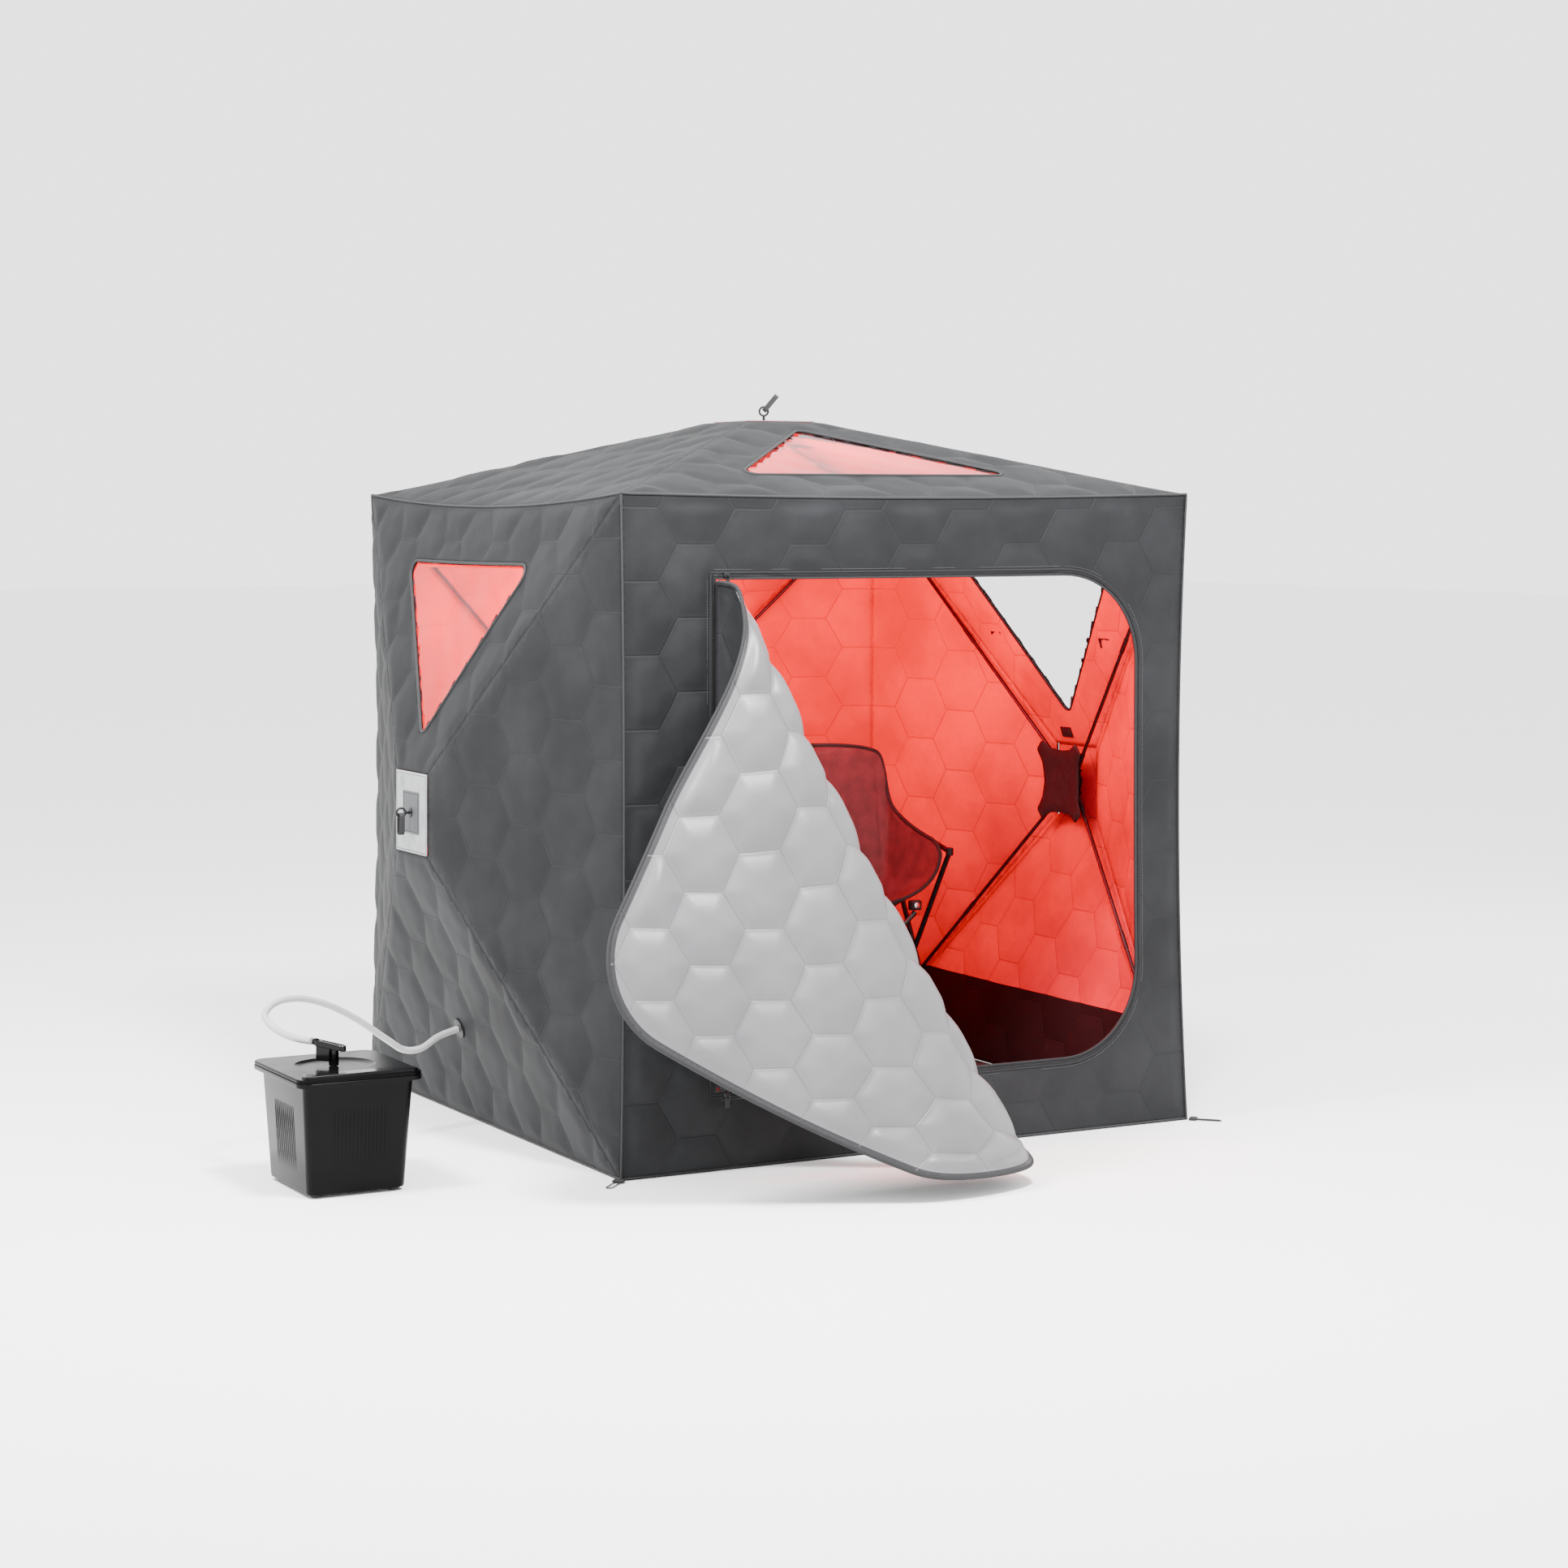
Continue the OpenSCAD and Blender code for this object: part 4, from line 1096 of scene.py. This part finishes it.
for side, panel in panels.items():
    place, bulge, body = panel["place"], panel["bulge"], panelBody(side)
    reach = hubDetail["patch"]

    def patchSkin(flat, rim):
        u, v = flat[:, 0], flat[:, 1]
        puff = 0.0012 * fold(u * 4, v * 4, 2.0) * np.clip(rim / 0.02, 0, 1)
        front = np.stack([u, v, bulge + 0.0030 + puff * 0.3], 1)
        back = np.stack([u, v, bulge + 0.0008 + puff * 0.3], 1)
        return place(front), place(back)

    square = [(-reach, -reach), (reach, -reach), (reach, reach), (-reach, reach)]
    hole = np.stack([np.cos(np.arange(16) * math.pi / 8), np.sin(np.arange(16) * math.pi / 8)], 1) * 0.0052
    patch = clothPanel(side + "Patch", roundCorners(square, 0.004, 3), [hole], 0.012, patchSkin,
                       [silverCloth, shellIn, silverCloth])
    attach(patch, body)
    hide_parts(side + "_hub_patch")

    def innerSkin(flat, rim):
        u, v = flat[:, 0], flat[:, 1]
        return (place(np.stack([u, v, np.full(len(u), bulge + 0.0047)], 1)),
                place(np.stack([u, v, np.full(len(u), bulge + 0.0033)], 1)))

    small = hubDetail["inner"]
    square = [(-small, -small), (small, -small), (small, small), (-small, small)]
    inner = clothPanel(
        side + "PatchInner", roundCorners(square, 0.003, 3), [hole], 0.012, innerSkin, [greyCloth])
    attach(inner, body)
    for tag, half in (("PatchSeam", reach - 0.006), ("PatchInnerSeam", small - 0.005)):
        level = bulge + (0.0034 if tag == "PatchSeam" else 0.0050)
        ring = place(squareRing(half, level))
        seam = blockRow(side + tag, ring, 0.0055, (0.0034, 0.0009, 0.0009), webbing, closed=True)
        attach(seam, body)

    # Lining cross over the rod pivots, seen from inside.
    arms = []
    for k in range(4):
        a = math.radians(45 + 90 * k)
        c, s = math.cos(a), math.sin(a)
        r, w, waist = hubDetail["coverReach"], hubDetail["coverWide"], hubDetail["coverWaist"]
        for py in (-w, w):
            arms.append((c * r - s * py, s * r + c * py))
        c, s = math.cos(a + math.pi / 4), math.sin(a + math.pi / 4)
        for px, py in ((1.05, -0.055), (1.0, 0.0), (1.05, 0.055)):
            arms.append((c * waist * px - s * py, s * waist * px + c * py))
    arms = roundCorners(arms, 0.010, 4)

    def coverSkin(flat, rim):
        u, v = flat[:, 0], flat[:, 1]
        r = np.hypot(u, v)
        drop = 0.175 * np.clip(r - 0.055, 0, 1)
        puff = 0.006 * np.clip(rim / 0.02, 0, 1) + 0.0012 * fold(u * 5, v * 5, 1.0)
        front = np.stack([u, v, bulge - 0.0570 - drop - puff * 0.5], 1)
        back = np.stack([u, v, bulge - 0.0590 - drop - puff], 1)
        return place(front), place(back)

    cover = clothPanel(side + "HubCover", arms, [], 0.008, coverSkin, [webbing])
    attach(cover, body)

    # Webbing strap through the eye.
    lean = math.radians(50 if side == "roof" else 0)
    spin = math.radians(62 if side == "roof" else 0)
    profile = []
    for a in np.linspace(0, math.pi, 14):
        profile.append((0.011 * math.cos(a), -0.011 + 0.011 * math.sin(a)))
    for a in np.linspace(math.pi, 2 * math.pi, 14):
        profile.append((0.0105 * math.cos(a), -0.052 + 0.0105 * math.sin(a)))
    profile = dense(profile, 0.004)
    verts = []
    for part in (1.0, 0.86):
        for half in (-0.0075, 0.0075):
            for x, y in profile:
                if part < 1:
                    cy = -0.011 if y > -0.0315 else -0.052
                    x, y = x * part, cy + (y - cy) * part if abs(y + 0.0315) > 0.0205 else y
                ly = y * math.cos(-lean) - half * math.sin(-lean)
                lz = y * math.sin(-lean) + half * math.cos(-lean)
                sx = x * math.cos(spin) - ly * math.sin(spin)
                sy = x * math.sin(spin) + ly * math.cos(spin)
                verts.append((sx, sy, bulge + 0.034 + lz))
    n = len(profile)
    faces = []
    for i in range(n):
        j = (i + 1) % n
        faces += [(i, j, n + j, n + i), (2 * n + i, 3 * n + i, 3 * n + j, 2 * n + j),
                  (i, 2 * n + i, 2 * n + j, j), (n + i, n + j, 3 * n + j, 3 * n + i)]
    strap = sharpen(addMesh(side + "Strap", place(np.array(verts)), faces, [webbing]), 40)
    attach(strap, body)
    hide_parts(side + "_hub_strap")
    hub = nodes[side + "_hub"]
    hub.data.materials.clear()
    hub.data.materials.append(blackPlastic)
    for k in range(4):
        rod = nodes[f"{side}_pole_{k + 1}"]
        rod.data.materials.clear()
        rod.data.materials.append(rodBlack)
print("hubs")

# Corner sleeves, ground loops and lining tabs.
gather = Gather()
for sx in (-1, 1):
    for sy in (-1, 1):
        for z in (0.005, 1.73):
            gather.add(*boxShape((sx * 0.883, sy * 0.883, z + 0.028), (0.0135, 0.0135, 0.055), 0.003))
sleeves = gather.build("cornerSleeves", [webbing], 40)
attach(sleeves, "tent")
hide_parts("corner_pockets")
gather = Gather()
for k in range(4):
    a = math.radians(45 + 90 * k)
    line = []
    for t in np.linspace(0, math.pi, 12):
        line.append((0.086 + 0.008 * math.sin(t), 0.008 * math.cos(t), 0.0018))
    for t in np.linspace(math.pi, 2 * math.pi, 12):
        line.append((0.010 + 0.008 * math.sin(t), 0.008 * math.cos(t), 0.0018))
    line = np.array(line) + np.array([0.904 * math.sqrt(2), 0, 0])
    c, s = math.cos(a), math.sin(a)
    world = np.stack([c * line[:, 0] - s * line[:, 1], s * line[:, 0] + c * line[:, 1], line[:, 2]], 1)
    gather.add(*tubeShape(world, 0.0017, 8, closed=True))
    x, y = c * (0.904 * math.sqrt(2) + 0.014), s * (0.904 * math.sqrt(2) + 0.014)
    gather.add(*boxShape((x, y, 0.004), (0.022, 0.030, 0.0075), 0.002, a))
loops = gather.build("groundLoops", [webbing], 40)
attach(loops, "tent")
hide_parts("ground_loops")
for side in ("left", "right"):
    panel = panels[side]
    pitch = slope
    normal = np.array([0, math.sin(pitch), math.cos(pitch)])
    up = np.array([0, math.cos(pitch), -math.sin(pitch)])
    gather = Gather()
    for u, v in ((-0.31, 0.45), (0.31, 0.45), (0.03, 0.156)):
        middle = np.array([u, v, (0.9 - v) * 0.225 / 0.785]) - normal * 0.0135
        verts, faces = boxShape((0, 0, 0), (0.06, 0.034, 0.004), 0.0015)
        world = [middle + np.array([1, 0, 0]) * x + up * y + normal * z for x, y, z in verts]
        gather.add(panel["place"](np.array(world)), faces)
    tabs = gather.build(side + "Tabs", [webbing], 40)
    blendFacet(tabs, side, 2)
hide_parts("window_tabs")
port = nodes["hose_port"]
port.data.materials.clear()
port.data.materials.append(blackPlastic)
print("small parts")

# Steam pot.
pot = {"x": -1.566, "y": -0.58, "w": 0.300, "d": 0.346, "taper": 0.034, "high": 0.300, "rim": 0.020}
middle = (pot["x"], pot["y"], 0)
bw, bd = pot["w"] - pot["taper"], pot["d"] - pot["taper"]
top = pot["high"]
rw, rd = pot["w"] + 2 * pot["rim"], pot["d"] + 2 * pot["rim"]
gather = Gather()
gather.add(*loftShape(middle, [
    (bw - 0.012, bd - 0.012, 0.008, 0.022), (bw - 0.003, bd - 0.003, 0.0095, 0.025), (bw, bd, 0.014, 0.026),
    (pot["w"] - 0.002, pot["d"] - 0.002, 0.280, 0.026), (pot["w"], pot["d"], 0.286, 0.026),
    (pot["w"] + 0.002, pot["d"] + 0.002, 0.2878, 0.027), (pot["w"] + 0.006, pot["d"] + 0.006, 0.2885, 0.029),
    (rw - 0.0015, rd - 0.0015, top - 0.0115, 0.036), (rw, rd, top - 0.010, 0.037),
    (rw, rd, top - 0.0015, 0.037), (rw - 0.002, rd - 0.002, top, 0.036),
    (pot["w"] - 0.006, pot["d"] - 0.006, top, 0.022),
    (pot["w"] - 0.008, pot["d"] - 0.008, top - 0.0015, 0.022), (bw - 0.008, bd - 0.008, 0.014, 0.022),
    (bw - 0.020, bd - 0.020, 0.012, 0.018),
], 10))
flutes = {"low": 0.055, "high": 0.225, "pitch": 0.0105, "size": 0.0009, "count": 14}
for face in range(4):
    along = 0 if face in (0, 2) else 1
    sign = -1 if face in (0, 3) else 1
    for i in range(flutes["count"]):
        offset = (i - (flutes["count"] - 1) / 2) * flutes["pitch"]
        line = []
        for z in np.linspace(flutes["low"], flutes["high"], 6):
            t = (z - 0.014) / (0.280 - 0.014)
            across = (bd + (pot["d"] - bd) * t) / 2 if along == 0 else (bw + (pot["w"] - bw) * t) / 2
            x = offset if along == 0 else sign * (across - 0.0004)
            y = sign * (across - 0.0004) if along == 0 else offset
            line.append((pot["x"] + x, pot["y"] + y, z))
        sizes = [flutes["size"] * s for s in (0.3, 1, 1, 1, 1, 0.3)]
        gather.add(*tubeShape(line, sizes, 8))
potBody = gather.build("potBody", [potBlack], 30)
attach(potBody, "tent")
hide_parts("steam_tank")
gather = Gather()
for sx in (-1, 1):
    for sy in (-1, 1):
        base = (pot["x"] + sx * (pot["w"] / 2 - 0.045), pot["y"] + sy * (pot["d"] / 2 - 0.045), 0)
        gather.add(*latheShape(base, [(0.010, 0), (0.012, 0.001), (0.0138, 0.0072), (0.013, 0.008)], 28))
potFeet = gather.build("potFeet", [rubberBlack], 30)
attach(potFeet, "tent")
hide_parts("tank_feet")
fittings = (("heater", steelWorn, "heater_steel"), ("power_inlet", blackPlastic, "inlet_plastic"))
for name, mat, slot in fittings:
    nodes[name].data.materials.clear()
    nodes[name].data.materials.append(mat)

# Lid with a dish, a glossy front step and the spout.
lidLow = pot["high"] + 0.001
lidMiddle = (pot["x"], pot["y"], lidLow)
gather = Gather()
lw, ld = rw - 0.002, rd - 0.002
dish = {"y": 0.016, "r": 0.106, "low": 0.087}
rimLevels = [
    (lw - 0.062, ld - 0.062, -0.010, 0.020), (lw - 0.062, ld - 0.062, -0.0005, 0.020),
    (lw - 0.060, ld - 0.060, 0.0, 0.020), (lw - 0.002, ld - 0.002, 0.0, 0.035), (lw, ld, 0.0012, 0.036),
    (lw, ld, 0.0062, 0.036), (lw - 0.0015, ld - 0.0015, 0.0078, 0.0355),
    (lw - 0.005, ld - 0.005, 0.009, 0.034),
]
gather.add(*loftShape(lidMiddle, rimLevels, 10, True, False))
topLoop = []
w, d, z, r = rimLevels[-1]
for cx, cy, start in ((1, 1, 0), (-1, 1, 90), (-1, -1, 180), (1, -1, 270)):
    for k in range(11):
        a = math.radians(start + 9 * k)
        topLoop.append((cx * (w / 2 - r) + r * math.cos(a), cy * (d / 2 - r) + r * math.sin(a)))
turn = np.arange(96) * 2 * math.pi / 96
dishLoop = np.stack([dish["r"] * np.cos(turn), dish["y"] + dish["r"] * np.sin(turn)], 1)
topFlat, topFaces, _ = flatMesh(topLoop, [dishLoop], 0.02)
gather.add([(pot["x"] + x, pot["y"] + y, lidLow + 0.009) for x, y in topFlat], topFaces)
profile = [
    (dish["r"], 0.009), (dish["r"] - 0.0012, 0.0086), (dish["r"] - 0.003, 0.0074),
    (dish["low"] + 0.003, 0.0036), (dish["low"], 0.0030), (dish["low"] - 0.004, 0.0030), (0.0, 0.0034),
]
dishX, dishY = pot["x"], pot["y"] + dish["y"]
verts, faces = [], []
for pr, pz in profile[:-1]:
    verts += [(dishX + pr * math.cos(a), dishY + pr * math.sin(a), lidLow + pz) for a in turn]
verts.append((dishX, dishY, lidLow + profile[-1][1]))
for i in range(len(profile) - 2):
    faces += bandFaces(i * len(turn), (i + 1) * len(turn), len(turn))
last = (len(profile) - 2) * len(turn)
faces += [(last + k, last + (k + 1) % len(turn), len(verts) - 1) for k in range(len(turn))]
gather.add(verts, faces)
step = (pot["x"] + 0.004, pot["y"] - pot["d"] / 2 + 0.016, lidLow)
gather.add(*loftShape(step, [
    (0.308, 0.052, 0.0088, 0.018), (0.308, 0.052, 0.0135, 0.018), (0.3065, 0.0505, 0.0152, 0.0175),
    (0.302, 0.046, 0.0160, 0.016)], 8), slot=1)
gather.add(*loftShape(step, [(0.296, 0.040, 0.0158, 0.014), (0.294, 0.038, 0.0166, 0.013)], 8), slot=1)
lid = gather.build("potLid", [potBlack, potGloss], 28)
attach(lid, "pot_lid")
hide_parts("steam_lid")
gather = Gather()
headStart = np.array([-1.551, -0.596, lidLow + 0.053])
headEnd = np.array([-1.6045, -0.5235, lidLow + 0.064])
heading = headEnd - headStart
headTurn = math.atan2(heading[1], heading[0])
post = np.array([-1.568, -0.560, lidLow + 0.003])
gather.add(*boxShape(tuple(post + np.array([0, 0, 0.024])), (0.024, 0.015, 0.046), 0.002, headTurn))
plate = (headStart + headEnd) / 2 + heading * 0.22
gather.add(*boxShape((plate[0], plate[1], lidLow + 0.036), (0.044, 0.012, 0.040), 0.002, headTurn))
barMiddle = (headStart + headEnd) / 2


def turnLevel(verts, center, angle, rise):
    c, s = math.cos(angle), math.sin(angle)
    out = []
    for x, y, z in verts:
        dx, dy = x - center[0], y - center[1]
        out.append((center[0] + c * dx - s * dy, center[1] + s * dx + c * dy, z + rise * dx))
    return out


barVerts, barFaces = loftShape(tuple(barMiddle), [
    (0.091, 0.020, -0.0085, 0.0098), (0.094, 0.0225, -0.0070, 0.0110), (0.094, 0.0225, 0.0050, 0.0110),
    (0.0915, 0.020, 0.0066, 0.0099), (0.0860, 0.0145, 0.0066, 0.0072), (0.0850, 0.0135, 0.0050, 0.0066)], 10)
rise = heading[2] / np.linalg.norm(heading[:2])
gather.add(turnLevel(barVerts, barMiddle, headTurn, rise), barFaces)
buttonVerts, buttonFaces = latheShape(tuple(barMiddle + heading * 0.30 + np.array([0, 0, 0.0050])), [
    (0.0058, -0.001), (0.0058, 0.0012), (0.0050, 0.0018)], 28)
gather.add(buttonVerts, buttonFaces)
barb = headEnd + heading / np.linalg.norm(heading) * 0.001
gather.add(*latheShape(tuple(barb - heading / np.linalg.norm(heading) * 0.006), [
    (0.0098, 0.0), (0.0100, 0.005), (0.0086, 0.006), (0.0086, 0.010), (0.0078, 0.0115)], 32, tuple(heading)))
spout = gather.build("spoutHead", [potGloss], 30)
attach(spout, "pot_lid")
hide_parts("steam_spout")
print("steam pot")

# Chair sling, a padded bucket with a bound rim and stitched channels.
chair = {"x": 0.3, "half": 0.325, "thick": 0.008}
seatLine = np.array([(0, 545), (90, 500), (200, 450), (290, 470), (325, 620), (345, 820), (360, 1015)]) / 1000
edgeRise = np.array([180, 240, 320, 340, 230, 90, -60]) / 1000
seatSlopes = np.gradient(seatLine, axis=0)
riseSlopes = np.gradient(edgeRise)


def slingPoint(a, b):
    x = np.clip(b, 0, 1) * 6
    i = np.clip(np.floor(x).astype(int), 0, 5)
    s = x - i
    h = [2 * s**3 - 3 * s**2 + 1, s**3 - 2 * s**2 + s, 3 * s**2 - 2 * s**3, s**3 - s**2]
    seat = (seatLine[i], seatSlopes[i], seatLine[i + 1], seatSlopes[i + 1])
    rise = (edgeRise[i], riseSlopes[i], edgeRise[i + 1], riseSlopes[i + 1])
    yz = sum(w[:, None] * p for w, p in zip(h, seat))
    lift = sum(w * p for w, p in zip(h, rise))
    side = np.abs(a) ** 2.4
    return np.stack([chair["x"] + chair["half"] * np.sin(a * math.pi / 2), yz[:, 0] + 0.010 * side,
                     yz[:, 1] + lift * side], 1)


def slingSkin(flat, rim):
    a, b = flat[:, 0], flat[:, 1]
    base = slingPoint(a, b)
    e = 0.003
    across = slingPoint(a + e, b) - slingPoint(a - e, b)
    along = slingPoint(a, np.clip(b + e, 0, 1)) - slingPoint(a, np.clip(b - e, 0, 1))
    n = np.cross(across, along)
    n /= np.linalg.norm(n, axis=1)[:, None]
    channel = np.abs(((a * 3.5) % 1) - 0.5) * 2
    channel = np.clip(channel * 1.6, 0, 1)
    fade = np.clip(rim / 0.08, 0, 1)
    puff = (1 - (1 - channel) ** 3) * fade
    crease = 0.004 * fold(a * 0.5, b * 1.2, 6.0) * fade
    front = base + n * (0.002 + 0.005 * puff + crease)[:, None]
    back = base - n * (0.002 + 0.004 * puff - crease)[:, None]
    return front, back


slingLine = roundCorners([(-1, 0), (1, 0), (1, 1), (-1, 1)], [0.12, 0.12, 0.25, 0.25], 10)
sling = clothPanel("chairSling", slingLine, [], 0.035, slingSkin, [chairCloth])
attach(sling, "tent")
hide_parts("chair_sling")
rimFlat = dense(slingLine, 0.02)
slingRim = slingPoint(rimFlat[:, 0], rimFlat[:, 1])
gather = Gather()
gather.add(*tubeShape(slingRim, 0.0058, 10, closed=True))
slingBinding = gather.build("slingBinding", [webbing], 60)
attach(slingBinding, "tent")

# Chair frame.
gather = Gather()
half = 0.346
foot = half - 0.014
back = 0.424
ends = []
for s in (-1, 1):
    for a, b in (
        ((s * foot, -0.006, 0.014), (s * half, back, 0.80)),
        ((s * foot, back, 0.014), (s * half, -0.006, 0.70)),
        ((s * half, -0.012, 0.6985), (s * half, back + 0.006, 0.8015)),
        ((s * half, back, 0.80), (s * 0.30, back, 0.985)),
        ((s * foot, -0.006, 0.030), (-s * 0.215, -0.018, 0.522)),
        ((s * foot, back, 0.036), (-s * 0.30, back, 0.985)),
    ):
        line = np.array([a, b]) + np.array([chair["x"], 0, 0])
        gather.add(*tubeShape(np.linspace(line[0], line[1], 8), 0.0079, 20))
        ends += [line[0], line[1]]
for s in (-1, 1):
    for place in ((s * half, -0.006, 0.70), (s * half, back, 0.80)):
        gather.add(*latheShape((place[0] + chair["x"], place[1], place[2] - 0.012), [
            (0.009, 0), (0.0115, 0.002), (0.0115, 0.022), (0.009, 0.024)], 28), slot=1)
for cross in ((0, -0.012, 0.311), (0, back, 0.53)):
    gather.add(*latheShape((cross[0] + chair["x"], cross[1] - 0.0125, cross[2]), [
        (0.006, 0), (0.0075, 0.001), (0.0075, 0.024), (0.006, 0.025)], 24, (0, 1, 0)), slot=1)
chairFrame = gather.build("chairTubes", [tubeBlack, blackPlastic], 40)
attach(chairFrame, "tent")
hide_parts("chair_frame")
gather = Gather()
for s in (-1, 1):
    gather.add(*boxShape((chair["x"] + s * 0.215, -0.018, 0.544), (0.038, 0.022, 0.030), 0.003))
    gather.add(*latheShape((chair["x"] + s * 0.215, -0.029, 0.544), [
        (0.0095, 0), (0.0095, 0.002), (0.0075, 0.0035), (0.0035, 0.0042)], 32, (0, -1, 0)), slot=1)
    gather.add(*boxShape((chair["x"] + s * 0.290, 0.398, 0.975), (0.034, 0.032, 0.034), 0.004))
brackets = gather.build("chairBrackets", [tubeBlack, steelWorn], 35)
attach(brackets, "tent")
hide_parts("chair_brackets")
gather = Gather()
for s in (-1, 1):
    for y in (-0.006, back):
        gather.add(*latheShape((chair["x"] + s * foot, y, 0.0052), [
            (0.012, 0), (0.013, 0.001), (0.013, 0.006), (0.0115, 0.018), (0.0095, 0.020)], 28))
chairFeet = gather.build("chairFeet", [rubberBlack], 35)
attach(chairFeet, "tent")
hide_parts("chair_feet")
print("chair")

# Stage and lights.
floorMesh = bpy.data.meshes.new("stageFloor")
floorCorners = [(-40, -40, -0.001), (40, -40, -0.001), (40, 60, -0.001), (-40, 60, -0.001)]
floorMesh.from_pydata(floorCorners, [], [(0, 1, 2, 3)])
stageFloor = bpy.data.objects.new("stageFloor", floorMesh)
bpy.context.scene.collection.objects.link(stageFloor)
stageMat = newMaterial("stagePale", (0.90, 0.90, 0.90), 0.9)[0]
floorMesh.materials.append(stageMat)
world = bpy.data.worlds.new("studio")
world.use_nodes = True
world.node_tree.nodes["Background"].inputs["Color"].default_value = (1, 1, 1, 1)
world.node_tree.nodes["Background"].inputs["Strength"].default_value = 2.8
bpy.context.scene.world = world


def areaLight(name, place, target, size, power, color=(1, 1, 1)):
    data = bpy.data.lights.new(name, "AREA")
    data.shape = "SQUARE"
    data.size = size
    data.energy = power
    data.color = color
    obj = bpy.data.objects.new(name, data)
    obj.location = place
    obj.rotation_euler = (Vector(target) - Vector(place)).to_track_quat("-Z", "Y").to_euler()
    bpy.context.scene.collection.objects.link(obj)
    return obj


areaLight("keySoft", (-3.6, -0.9, 4.6), (-0.95, 0, 1.1), 1.0, 520)
areaLight("rakeFront", (-0.6, -2.9, 4.8), (0.1, -0.95, 1.0), 1.0, 720)
areaLight("rimRight", (5.0, 1.0, 4.0), (0.5, 0, 1.0), 2.5, 120)
for name, place, power in (("glowTop", (0.15, 0.05, 1.60), 64), ("glowBack", (-0.35, 0.55, 1.35), 34)):
    data = bpy.data.lights.new(name, "POINT")
    data.energy = power
    data.color = (1.0, 0.03, 0.06)
    data.shadow_soft_size = 0.18
    lamp = bpy.data.objects.new(name, data)
    lamp.location = place
    bpy.context.scene.collection.objects.link(lamp)
print("lights")
